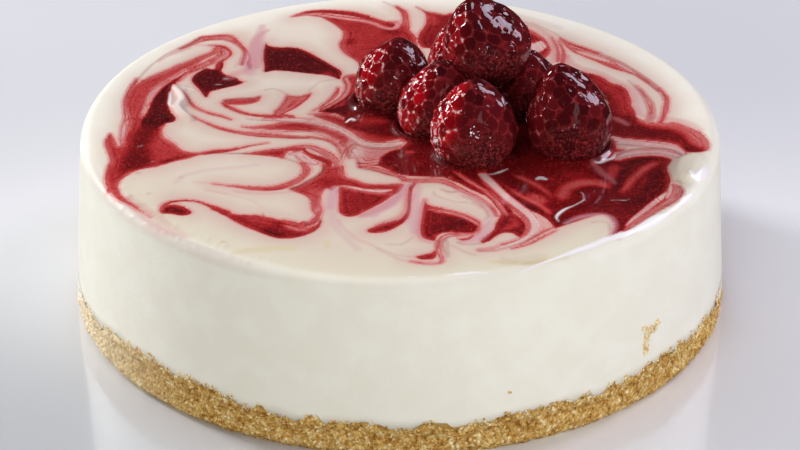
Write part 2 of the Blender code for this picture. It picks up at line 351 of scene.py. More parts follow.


# %% [markdown]
# ## The marbling, left
# A tint is a line too, but it only changes the tone of the sauce that it lies on. A vein is a soft stain,
# too thin to be cut out of the cream, and its value is a stain's name and strength. A vein named gleam is a
# painted highlight, not a stain.

# %% The marbling, left side
LEFT = [
    ("band", 0.42, "-67.6 26 .4, -68.6 20 .8, -69.2 14 1, -69 8 .8, -68.6 3 .5"),
    ("band", 0.6, "-48.1 44.6 .7, -48.6 42 .9, -51.6 39 1.1, -54 35.8 1.5, -57 32.8 1.6, -59.2 30.1 1.9,"
     "-61.6 27.4 2.1, -64 24.2 2.4, -66 20.4 2.8, -66.8 16.3 2.8, -66.9 12.3 2.7, -66.8 8.2 2.2,"
     "-66.4 4.2 1.9, -66.2 0 1.9, -66.5 -4 1.9, -67.3 -8 1.5"),
    ("band", 0.28, "-68.8 5 .5, -69 0 .7, -69 -6 .7, -68.9 -10.7 .4"),
    ("pool", 0.66, "-58.9 .7, -59.3 -1.8, -59.1 -4.5, -58.4 -6.9, -56.8 -9.1, -55.4 -10.9, -54.3 -12.8,"
     "-52.7 -14.5, -50 -15, -47.6 -14.2, -44.9 -13.4, -42.2 -13.1, -40 -12.3, -40 -13.6, -43.5 -15,"
     "-47.6 -15.8, -50 -16.9, -52.2 -18.5, -54.9 -19.6, -57 -20.9, -59.5 -22.6, -62.2 -23.6, -64.6 -25,"
     "-66.5 -27.4, -67.8 -29.9, -68.2 -32.3, -68.5 -35, -70.5 -35, -70.9 -32.8, -71.5 -30.1, -71.8 -27.4,"
     "-71.8 -24.7, -71.6 -22, -71.2 -19.3, -71.6 -16.6, -72.3 -13.9, -73 -11.2, -73.2 -8.5, -72.8 -6.4,"
     "-72.2 -4.5, -71.2 -6.5, -70.3 -9.5, -69.5 -11.6, -68.3 -9, -68 -3, -66.5 2, -63 5"),
    ("band", 0.7, "-69.4 -33 1.1, -67.6 -37.7 .8, -64.2 -42.2 .5, -60.6 -46.6 .3, -59.2 -48.4 .15"),
    ("pool", 1.0, "-56.5 27.4, -57 24.7, -58.1 22, -58.6 19, -58.5 15, -58.8 12.3, -58.4 9.6, -57.6 6.9,"
     "-56.5 4.2, -56.6 2, -58.9 .7, -60.5 -1, -62.4 -3, -64.3 -2, -64.8 2, -64.2 6, -63.6 9.5, -63.2 13.6,"
     "-62.3 17.7, -61.2 21.4, -59.4 24.6, -57.8 27"),
    ("band", 0.9, "-48.9 36 .3, -51.9 33.1 .4, -54.6 30.1 .5, -56.8 26.9 .7, -58.4 24 .9"),
    ("band", 0.3, "-47.3 40.4 .35, -50 36.6 .4, -54 33.1 .45, -56.8 30.1 .5, -59.2 26.3 .7, -61.4 22 .8,"
     "-63 18.2 .95, -63.8 14.4 .8, -64.3 10.6 .6, -64.9 6.9 .35"),
    ("band", 0.85, "-46.5 40.9 .3, -49.5 36.9 .3, -52.7 33.6 .35, -54.9 30.6 .35, -57 27.4 .3"),
    ("band", 0.3, "-45.1 40.6 .5, -47.6 37.1 .6, -50 34.2 .6, -52.7 31.7 .6, -54.9 29.3 .6, -56.2 26.3 .5,"
     "-57.3 24.7 .3"),
    ("tint", 0.9, "-62.4 1 2, -63.4 -3.9 2.6, -64 -7.2 2.6, -64.6 -11.2 2.2, -64.3 -15.3 3,"
     "-64.6 -19.3 3.6, -66.5 -22.3 2, -67.8 -24.7 1, -68.4 -27.4 .6"),
    ("tint", 0.85, "-60.5 -20.4 .8, -57.5 -19.6 .8, -55 -18 .6, -52 -16.6 .5"),
    ("pool", 1.0, "-51.9 30.6, -50.3 32.5, -48.1 32.3, -47.6 33.9, -46.5 35.8, -45.9 36.6, -45.8 33.9,"
     "-46.1 31.2, -45.1 29, -43.8 28, -42.2 26.9, -41.1 25.2, -40.1 24.4, -41.1 23.1, -42.7 22, -44.9 20.9,"
     "-46.8 19.8, -48.4 18.8, -49.3 15.5, -50.8 19, -51.6 20.9, -52.7 23.1, -53.5 25.2, -53.4 27.4,"
     "-52.7 29.3"),
    ("vein", ("rose", 0.55), "-44 27 1.4, -42 29.5 1.6, -40 31 1.6, -38.6 33 1.2"),
    ("band", 0.45, "-57.5 44.2 .4, -55.5 46.4 .7, -53.5 48.8 1, -51.5 50.6 1.5, -49 51 1.5, -46.5 51 1.4,"
     "-44.5 50 1.4, -43 48.2 .9, -41.8 46 .6, -40.6 43 .5, -40.4 40 .5, -40.7 37 .5, -40.9 34.7 .4"),
    ("tint", 0.62, "-51.6 49.7 .7, -49.8 50.1 .7"),
    ("tint", 0.62, "-44.3 49.5 .6, -43.4 48.6 .6"),
    ("vein", ("rose", 0.8), "-55.5 44.9 .8, -57.5 43 .8, -59.5 41 .7, -61.3 38.8 .5, -62.6 36.5 .4"),
    ("vein", ("rose", 0.6), "-54.4 46.7 .5, -52 46.3 .6, -49.4 46.2 .5"),
    ("vein", ("brown", 0.75), "-67.8 24.4 .35, -67 26.9 .35, -66 29.8 .35, -64.8 33.2 .35, -63.8 35.3 .3,"
     "-62.9 36.9 .3, -61.3 40.1 .3, -59.7 42.2 .3, -57.9 44.4 .3, -56.1 46.2 .35, -54.8 48 .35,"
     "-53.8 49.5 .4, -52.6 51.5 .4"),
    ("band", 0.8, "-54 49.3 .15, -52.6 51.6 .25, -51.6 52.2 .3, -49.6 52.3 .3, -47.5 52.7 .3,"
     "-45.5 52.7 .3, -44.1 51.7 .3, -43.5 50.3 .3, -42.7 48.2 .35, -41.7 46.4 .35, -40.6 44.4 .3,"
     "-39.8 42.4 .3, -39.2 40.1 .3, -39 38.1 .35, -39.2 36.1 .6, -38.8 34.3 .7, -38.7 32 .15"),
    ("band", 0.35, "-46.9 44.4 .5, -45.5 43 .7, -45.3 41.1 .7, -46.5 39.1 .7, -48.1 37.5 .5,"
     "-49.4 36.3 .35"),
    ("band", 0.35, "-47.3 41.8 .35, -47.9 39.7 .35, -49.4 38.1 .35, -50.8 36.3 .35, -52.8 34.5 .35,"
     "-54.8 32.8 .35, -56.5 31.6 .3"),
    ("band", 0.8, "-49.8 46.2 .25, -48.1 46.2 .4, -46.3 45.4 .6, -45.1 44 .5, -44.3 42.4 .35,"
     "-44.2 40.7 .35, -44.9 38.9 .3, -45.9 37.5 .4, -46.7 36.1 .5, -47.3 34.5 .6, -47.1 32.6 .6"),
    ("band", 0.8, "-47 43.2 .2, -46.7 42.2 .5, -46.5 41 .2"),
    ("pool", 0.0, "-49.5 33.4, -48.9 34.2, -48.3 33.8, -48.4 33, -49 32.8"),
    ("vein", ("mauve", 0.5), "-41 39.7 .3, -41.5 37.1 .3, -42.3 35 .3, -42.7 32.6 .3"),
    ("vein", ("rose", 0.75), "-35 55.3 .5, -37.2 52 .9, -38 48 1.4, -37.8 43 1.8, -37.5 38 1.8,"
     "-37.5 33.5 1.6"),
    ("vein", ("mauve", 0.4), "-54.3 -31 .8, -53 -28 .8, -50.3 -26.1 .8, -46.2 -24.2 .8, -40 -23.1 .8,"
     "-35 -21.8 .8"),
    ("vein", ("rose", 0.35), "-50 -30.7 .4, -46.2 -31.2 .4, -42.2 -32.6 .4, -40 -33.1 .4"),
    ("vein", ("brown", 0.8), "-64.1 -26.1 .35, -63.5 -26.1 .35"),
    ("vein", ("brown", 0.8), "-53.2 -28.2 .25, -53 -28.2 .25"),
]

# %% [markdown]
# ## The marbling, back left
# Strokes are laid in the order in which they are listed, so a later one covers an earlier one. A band or
# a pool of tone 0 lays plain cream over the sauce, which makes the pale lines inside a pool.

# %% The marbling, back left
BACK_LEFT = [
    ("pool", 0.7, "-24.5 65, -21.2 63.9, -19.3 62, -17.4 59.6, -16.1 57.2, -15.1 55, -15 52.6, -15.3 49.9,"
     "-15.9 47.4, -15.7 45, -14.9 42.3, -13.6 40.1, -12.1 38, -11 36.1, -9 30, -7 24, -2 26, 4 32, 6 40,"
     "4.6 46, 4.3 51, 3.4 53.6, 2.6 56, 2.6 59, 2.4 62, 2.3 65, 1.8 67.6, .6 69.6, -1 71.4, -1 69.6,"
     "0 67.6, .5 65, .7 62, .4 60, -.5 59.5, -1.5 61, -5 61.6, -9 62.5, -14 64.2, -20 65.6"),
    ("tint", 0.55, "0 69.5 .5, 1.2 66.5 .8, 1.6 63 .8, 1.6 59 .8, 1.2 56 .8"),
    ("tint", 0.86, "-13.6 50.5 1.6, -13.3 47.5 1.2"),
    ("tint", 0.82, "-4 55 1.6, 0 54.6 1.6"),
    ("tint", 0.62, "-18 60 .7, -16 56.5 .7, -14.3 52 .5, -14.6 47 .6, -13.6 42.5 .8, -11.5 38.5 .8"),
    ("band", 0.3, "-27.7 64.7 .5, -24.5 65.6 .6, -20.7 65.3 .7, -17.4 64.3 .7, -14.5 63.2 .7, -12 62.3 .7,"
     "-9.5 61.5 .7, -7.5 60.6 .8, -6 59.4 .8, -5 58.3 .8, -3.5 57.3 .8, -2 57.1 .8, -1 58 .8, -.6 59.4 .7,"
     "-1 61 .5"),
    ("band", 0.45, "-28.8 64.2 .25, -27.4 65.8 .4, -26.4 66.5 .5"),
    ("band", 0.8, "-26.8 66.3 .4, -25 67.2 .8, -22 67.7 1, -19.1 67.5 1.2, -15.8 66.8 1.3, -12.6 65.8 1.3,"
     "-9.9 64.4 1.3, -7.7 62.9 1, -5.8 61.9 .7, -4.2 61.3 .4"),
    ("band", 0.85, "-3.4 60.2 .5, -2.6 59.8 .9, -2.2 59 .6"),
    ("vein", ("rose", 0.5), "-2.6 60 .2, -2.3 60.1 .2"),
    ("vein", ("rose", 0.7), "-2.6 61.6 .3, -.8 61.4 .3, .3 60.6 .3"),
    ("vein", ("brown", 0.7), "-4.5 74 .35, -2.5 71.8 .35, -1 70.2 .4, 0 69 .4"),
    ("vein", ("dark", 0.7), "-19.6 62.6 .25, -17.6 60.3 .25, -16.1 57.8 .25, -15 55.8 .25"),
    ("pool", 0.8, "4.5 70.3, 6 68.5, 7.5 67.3, 9.5 66.5, 12 65.5, 15 66, 22 60, 20 48, 12 44, 7 44.8,"
     "5.6 45.6, 4.8 48, 4.7 51, 5.2 54, 6.2 57, 6.9 60, 7 63, 6.8 66, 5.8 68.3"),
    ("tint", 0.62, "7.2 66.8 .8, 8.5 64.5 1.2, 9 61 1.2, 8 57.5 .8"),
    ("vein", ("brown", 0.8), "4.3 70.4 .25, 6 68.4 .3, 7.5 67.3 .3, 9.6 66.5 .3, 11.8 65.6 .3"),
    ("pool", 1.0, "-35.3 47.7, -34.6 46.4, -33.1 45.5, -31 45.1, -28.8 45.3, -27.2 44.9, -25.5 43.9,"
     "-23.9 42.3, -22 40.1, -20.4 38, -18.5 35.5, -18 34.7, -16.1 32.5, -15.1 30.4, -15.1 28.5, -15.5 26.1,"
     "-17.2 27.4, -19.3 28.5, -21.2 29, -23.9 29.6, -27.2 30.4, -29.9 31, -32.8 31.2, -34.9 30.5,"
     "-35.1 33.9, -35.5 38, -35.7 42.6, -35.5 45.5"),
    ("tint", 0.8, "-19.5 30 1.2, -17.5 29 1.2"),
    ("pool", 0.66, "-44.7 13.9, -41.8 14.6, -39.1 15, -36.9 15.4, -35.5 16.1, -35.5 14.7, -36.1 13.1,"
     "-37.7 12, -40.1 11.5, -42.3 11.5, -44.2 12"),
    ("vein", ("dark", 0.8), "-44.7 13.9 .3, -41.8 14.6 .3, -39.1 15 .3, -36.9 15.4 .3, -35.6 16.1 .3"),
    ("band", 0.7, "-45 12.5 .4, -43.9 10.7 .7, -42 8.8 .8, -39.6 6.9 .7, -37.2 5.7 .6, -34.2 5.1 .8,"
     "-31.5 5.1 .9, -28.2 5.2 .8, -26.3 4.2 .35"),
    ("band", 0.55, "-54.9 17 .25, -54 14.7 .4, -53 12.5 .5, -51.9 10.1 .5, -50 8.2 .5, -47.6 6.3 .5,"
     "-44.9 5 .5, -42.4 3.1 .35"),
    ("vein", ("brown", 0.5), "-54.6 22 .35, -54.9 19 .35, -54.8 17 .35"),
    ("pool", 0.5, "-28.8 16.9, -29.1 15, -29.9 12.3, -30.7 9.6, -31.8 7.1, -30.4 5.5, -28.8 7.4,"
     "-26.6 10.1, -25 12.8, -23.6 15.2, -22.8 17.7, -23.9 17.3, -25.5 16.4, -27.7 16.6"),
    ("band", 0.85, "-22.8 17.7 .2, -23.6 15.2 .3, -25 12.8 .35, -26.6 10.1 .35, -28.8 7.4 .3,"
     "-30.4 5.5 .2"),
    ("vein", ("brown", 0.45), "-22.8 17.7 .3, -23.1 19.6 .3, -22 22 .3, -20.7 24.2 .3, -19 25.2 .3,"
     "-17.2 25.6 .3"),
    ("vein", ("brown", 0.7), "-34.5 19.6 .25, -32.8 20.4 .25, -30.9 19.6 .25, -29.3 17.9 .25,"
     "-27.7 16.6 .25, -25.5 16.3 .25, -23.9 17.1 .25"),
    ("band", 0.45, "-15.7 21.2 .3, -16.1 18.2 .6, -17.2 15.2 .6, -18.5 12.8 .4, -20.1 10.1 .25,"
     "-22 7.9 .2"),
    ("pool", 0.7, "-14.6 27.5, -14 22, -14.6 18, -15.8 15, -18.4 11.6, -20.6 8.8, -20.1 8.8, -19.9 7.1,"
     "-16.6 6.6, -14.7 5, -13.1 3.4, -10 1, -6 6, -4 16, -6 26, -10 29"),
    ("pool", 0.96, "-20.1 8.6, -17.4 9.6, -14.7 10.9, -12.6 12.8, -10.1 11.7, -6 6, -9 1, -13.1 3.4,"
     "-14.7 5, -16.6 6.6, -19.9 7.3"),
    ("band", 0.35, "-13.9 26.9 .6, -13.1 23.1 .6, -13.6 19 .6, -14.7 15.5 .6, -16.4 12.8 .5, -18.2 10.4 .4,"
     "-19.9 8.4 .2"),
    ("band", 0.85, "-12.6 16.9 .3, -14.5 14.2 .3, -16.4 11.5 .3, -18.5 9 .3, -20.7 7.4 .2"),
    ("pool", 0.68, "-21.8 5.4, -19.6 6.2, -16.9 5.6, -15 4.2, -13.6 2.6, -10 0, -4 -1, 0 -4, .5 -7, 0 -7.6,"
     "-3 -9, -7 -9.1, -9.8 -7.4, -11.6 -4.6, -13.6 -2, -16.4 .8, -19.4 3.2"),
    ("tint", 0.9, "-6 -2 2.4, -3 -4 2.2, -1 -5 1.6"),
    ("tint", 0.6, "-13 -1 .9, -10 -5 1, -7 -8 .9, -3 -8.2 .8"),
    ("band", 0.3, "-22.6 6 .3, -19.6 6.6 .45, -16.9 6 .45, -15 4.7 .4, -13.6 3.1 .25"),
]
print(len(LEFT) + len(BACK_LEFT), "strokes on the left")

# %% [markdown]
# ## The marbling, middle
# A pool is drawn first, and thin bands and tints then darken or lighten parts of it, so that it doesn't
# look like flat paint.

# %% The marbling, middle
MIDDLE = [
    ("band", 0.62, "-39.2 -.9 .3, -37 -1.4 .6, -34.3 -1.2 1, -31.6 -1.2 1.6, -28.9 -.8 2.2, -26.2 -.8 2.3,"
     "-23.5 -1.2 2, -20.8 -1.8 1.7, -18.4 -3.1 1.5, -16.5 -4.7 1.5, -14.9 -6.4 1.5, -13.8 -8 1.2,"
     "-14.1 -9.6 .8, -14.1 -11.8 .3"),
    ("tint", 0.76, "-30 .2 .8, -26.5 .2 .9, -23 -.2 .8, -20 -1.2 .7"),
    ("band", 0.15, "-33.8 3.4 .7, -28.4 3.1 .8, -24.3 2.8 .8, -20.8 2 .8, -18.1 -.1 .8, -15.9 -1.6 .8,"
     "-13.8 -4 .8, -12 -6.5 .8, -11 -8 .9, -9.5 -9.8 1.1, -7 -10.7 1.3, -4 -10.9 1.5, -1 -10.3 1.3,"
     ".6 -9.3 .7"),
    ("vein", ("dark", 0.6), "-38.4 3.4 .25, -35.4 2.6 .25, -32.7 2.2 .3, -29.5 1.8 .3, -25.7 1.2 .3,"
     "-23 .7 .3, -20.3 -.4 .3"),
    ("vein", ("brown", 0.8), "-11.8 -8.5 .25, -10.5 -10.8 .25, -8.5 -12 .25, -5 -12.6 .25, -2 -12.1 .25,"
     "0 -11.2 .25"),
    ("band", 0.2, "-39.2 -1.2 .3, -36.5 -2.3 .4, -33.2 -3.4 .4, -30 -3.6 .4, -27 -3.6 .4, -24.1 -3.5 .4,"
     "-21.6 -3.9 .4, -19.5 -5.3 .4, -17.6 -6.9 .4, -15.9 -8.8 .4, -14.6 -10.9 .35, -14.1 -13.4 .3"),
    ("band", 0.55, "-52.2 4.7 .25, -50 2.6 .35, -47.6 .4 .5, -45.1 -1.5 .7, -42.4 -3.1 .8, -39.7 -4.2 .9,"
     "-37 -5 1.1, -33.8 -5.5 1.1, -30 -6.1 .9, -27 -6.6 .8, -24.3 -6.9 .7, -21.9 -6.6 .5, -20 -7.2 .5,"
     "-17.8 -8.5 .6, -16.2 -10.4 .5, -15.1 -12.8 .3, -14.6 -15.5 .25"),
    ("vein", ("dark", 0.75), "-36 -6 .25, -31 -7 .3, -27 -7.4 .3, -23 -7.4 .3, -20 -7.9 .25"),
    ("band", 0.75, "-48.4 -15.8 .5, -45.9 -14.5 .9, -43.2 -13.9 .7, -40.8 -13.4 .4, -38.6 -12.3 .35,"
     "-36.5 -11.2 .3, -34.6 -10.5 .25, -32.7 -9.9 .2"),
    ("vein", ("dark", 0.85), "-47.8 -15.9 .3, -44.6 -15.4 .3, -41.1 -15.7 .3, -38 -15.8 .3"),
    ("pool", 0.68, "-38.4 -15.7, -35.9 -14.7, -33.8 -13.9, -31.1 -13.1, -28.4 -12.3, -25.7 -11.2,"
     "-24.3 -12, -23.8 -13.6, -25.5 -14.6, -27.6 -14.5, -28.6 -18, -30.5 -17.2, -33.8 -16.6, -37 -16.1"),
    ("vein", ("brown", 0.85), "-28.6 -18 .4, -27 -19.1 .4, -25.4 -20.1 .4"),
    ("band", 0.45, "-25 -11.4 .5, -22.2 -11.8 .9, -19.5 -13.9 1.2, -17.3 -16.6 1.2, -15.9 -19.3 1,"
     "-15 -22 1"),
    ("band", 0.85, "-24.1 -12.3 .5, -23 -15 .6, -21.1 -16.9 .9, -19.2 -18.5 1.1, -17.6 -20.1 .9,"
     "-17.3 -22.6 .6, -17.8 -24.7 .4"),
    ("band", 0.18, "-27.2 -15.6 .5, -25 -15.6 1.2, -23.6 -17.6 1.5, -22 -19.6 1.3, -20.6 -20.6 .8"),
    ("band", 0.55, "-24.1 -20.6 .6, -23 -22.8 .9, -22.8 -25.5 1, -23.8 -28.2 1, -25.4 -30.4 1.1,"
     "-27.6 -32.4 1.2, -30 -33.8 1.2, -33.1 -34.2 1.1, -36 -33.8 .9, -38.4 -33.1 .6, -41 -32.5 .35,"
     "-45 -31.6 .2"),
    ("tint", 0.78, "-25.6 -31.6 .6, -28 -33.8 .7, -31 -34.6 .6, -34.5 -34.6 .5"),
    ("vein", ("rose", 0.5), "-40 -35.5 .35, -35 -36.7 .35, -31 -36.8 .35, -27 -36.1 .35, -25 -35.5 .35"),
    ("vein", ("mauve", 0.45), "-44 -35.8 .25, -41 -37.2 .25, -38 -38.8 .25, -35 -41 .25, -33.5 -43 .25,"
     "-32.5 -44.3 .2"),
    ("pool", 0.66, "-19 -20, -17.4 -22.5, -14.3 -21.5, -13.6 -24.5, -13 -28, -11 -29.2, -9 -30.9, -6 -31.8,"
     "0 -31.4, 1 -32.3, .2 -35, -1.2 -36.8, -4.5 -36.5, -9 -35.4, -12.6 -33.6, -14.8 -32.6, -16.3 -35,"
     "-17.6 -34, -18.6 -36, -18.9 -39, -19 -42, -18.5 -45, -19.4 -48, -21 -45, -21.3 -42.5, -21.6 -40,"
     "-22.3 -38.3, -23.5 -37, -25 -35.9, -26.6 -34.2, -24.6 -32.4, -22 -29.9, -20.2 -27.4, -19 -24.4"),
    ("tint", 0.74, "-22.5 -31.5 .8, -19.5 -29.6 1.4, -17 -31 1.9, -15.2 -30.2 1.4, -12 -31 .9, -8 -32.1 .7,"
     "-4 -32.6 .7, 0 -32.2 .6"),
    ("tint", 0.55, "-22.6 -34.6 1, -20.6 -35.5 1.2, -20 -38 .9"),
    ("tint", 0.35, "-19.8 -43 1, -19.4 -46.5 .8"),
    ("tint", 0.55, "-15.6 -22 .9, -14.6 -25 1, -13.9 -28 .9"),
    ("vein", ("dark", 0.8), "-18.1 -22 .3, -18.9 -25 .3, -20.3 -27.7 .35, -22.2 -29.9 .4, -24.6 -32.8 .4,"
     "-26.8 -34.2 .3"),
    ("band", 0.25, "-12.4 -7.8 .4, -12.9 -11 .6, -13.6 -15 .6, -14.2 -19 .5, -14.8 -22 .3"),
    ("pool", 0.3, "-10.4 -10.6, -8.5 -12.2, -5 -12.8, -2 -12.4, .4 -11.4, 0 -13, -2.4 -14.4, -4 -16.6,"
     "-4.8 -20, -9.6 -20.6, -11 -18, -12.6 -18.4, -13 -14, -12 -10.4"),
    ("tint", 0.12, "-10.8 -11.5 .9, -10.4 -14.5 1.5, -10.8 -17 1"),
    ("tint", 0.45, "-8.5 -18.8 1, -6.2 -19 1.2"),
    ("vein", ("brown", 0.7), "-12.2 -8 .2, -11.8 -11 .25, -12 -14 .25, -12.7 -17.5 .25"),
    ("vein", ("brown", 0.6), "-13.4 -9.5 .2, -13.5 -13 .25, -14.3 -17.5 .25"),
    ("pool", 0.9, ".5 -12, -2 -13.8, -3.6 -15.5, -4.8 -17.5, -5.2 -20, -5.8 -21.3, -9.7 -20.8, -10 -21.5,"
     "-5.5 -22.2, -4 -23.3, -2.7 -24.5, -1 -26, 1 -27, 3.5 -27.5, 5 -27.7, 8 -27.9, 10.5 -28.2, 12 -29.3,"
     "14 -31, 16 -33, 18 -35, 20 -37.2, 21 -36, 18 -30, 22 -20, 20 -8, 8 -4, 3 -8"),
    ("tint", 0.86, "2.5 -19.5 1.6, 4.5 -21 1"),
    ("tint", 0.5, "1.4 -14.5 .6, 3.6 -14.7 .5"),
    ("band", 0.45, "-9.6 -22.7 .6, -6.5 -23.6 .9, -4 -25 1, -1.5 -27 1, .8 -28.6 .9"),
    ("vein", ("dark", 0.8), "-10.4 -20.5 .25, -9.9 -22.5 .3, -9.8 -23.5 .3, -8.5 -24.3 .3, -6 -25 .3,"
     "-4 -25.8 .25, -2 -27 .2"),
    ("pool", 0.0, "-11.4 -19.5, -12.6 -21.5, -13 -24, -12.3 -26.5, -10.8 -28, -10 -29.5, -9 -30.7,"
     "-6.5 -31.5, -3.5 -31.8, -1 -31.2, 0 -29.7, -.5 -28.3, -3 -26.9, -6 -25.7, -9 -24.7, -10.2 -23.5,"
     "-10.5 -21"),
    ("pool", 0.12, "-14.5 -32.3, -12 -32.6, -9 -33.7, -6 -34.3, -3 -34.3, -1.5 -34.2, -3 -35.4, -4.6 -35.9,"
     "-6.5 -35.6, -9 -34.9, -12 -33.6"),
    ("pool", 0.79, "-14.7 -33.1, -14.7 -39, -14.6 -45, -14 -46.7, -13.3 -47.8, -12.3 -48.3, -11 -48.1,"
     "-9.6 -47.1, -8 -45.4, -6.3 -43.7, -4 -41, -2 -38, -.6 -36, -2.5 -36.3, -4.8 -36.6, -7.5 -36, -10 -35,"
     "-12.5 -33.8"),
    ("tint", 0.68, "-3 -36.8 .8, -1.6 -37.2 .8, -.8 -36 .6"),
    ("vein", ("mauve", 1.0), "-15.8 -33 .5, -16.4 -36.5 1, -16.4 -40 1.2, -16.6 -44 1.1"),
    ("vein", ("mauve", 0.45), "-16.6 -44 1, -16 -49 1.1, -14.7 -54.5 1, -12.2 -60 .9, -9.8 -64.5 .8"),
    ("vein", ("rose", 0.95), ".3 -37 .8, -1.6 -40.3 1.2, -4 -43.6 1.3, -6.8 -46.4 1.1, -9.2 -48 .7"),
    ("vein", ("rose", 0.8), "1.4 -35 .8, 1.5 -38.5 .9, 1.4 -42 .8, 1 -45.5 .7, -.4 -48.6 .7, -3 -50.6 .6,"
     "-5.6 -52.6 .5"),
    ("vein", ("mauve", 0.8), "2.6 -31.5 .8, 1.2 -33 .9, .9 -36 .8"),
    ("vein", ("dark", 0.3), "-6.6 -48.8 .3, -5.2 -47.9 .3"),
]

# %% [markdown]
# ## The marbling, front
# These strokes are the nearest to the camera. Thin bands beside a wide one make the streaks that a stick
# leaves.

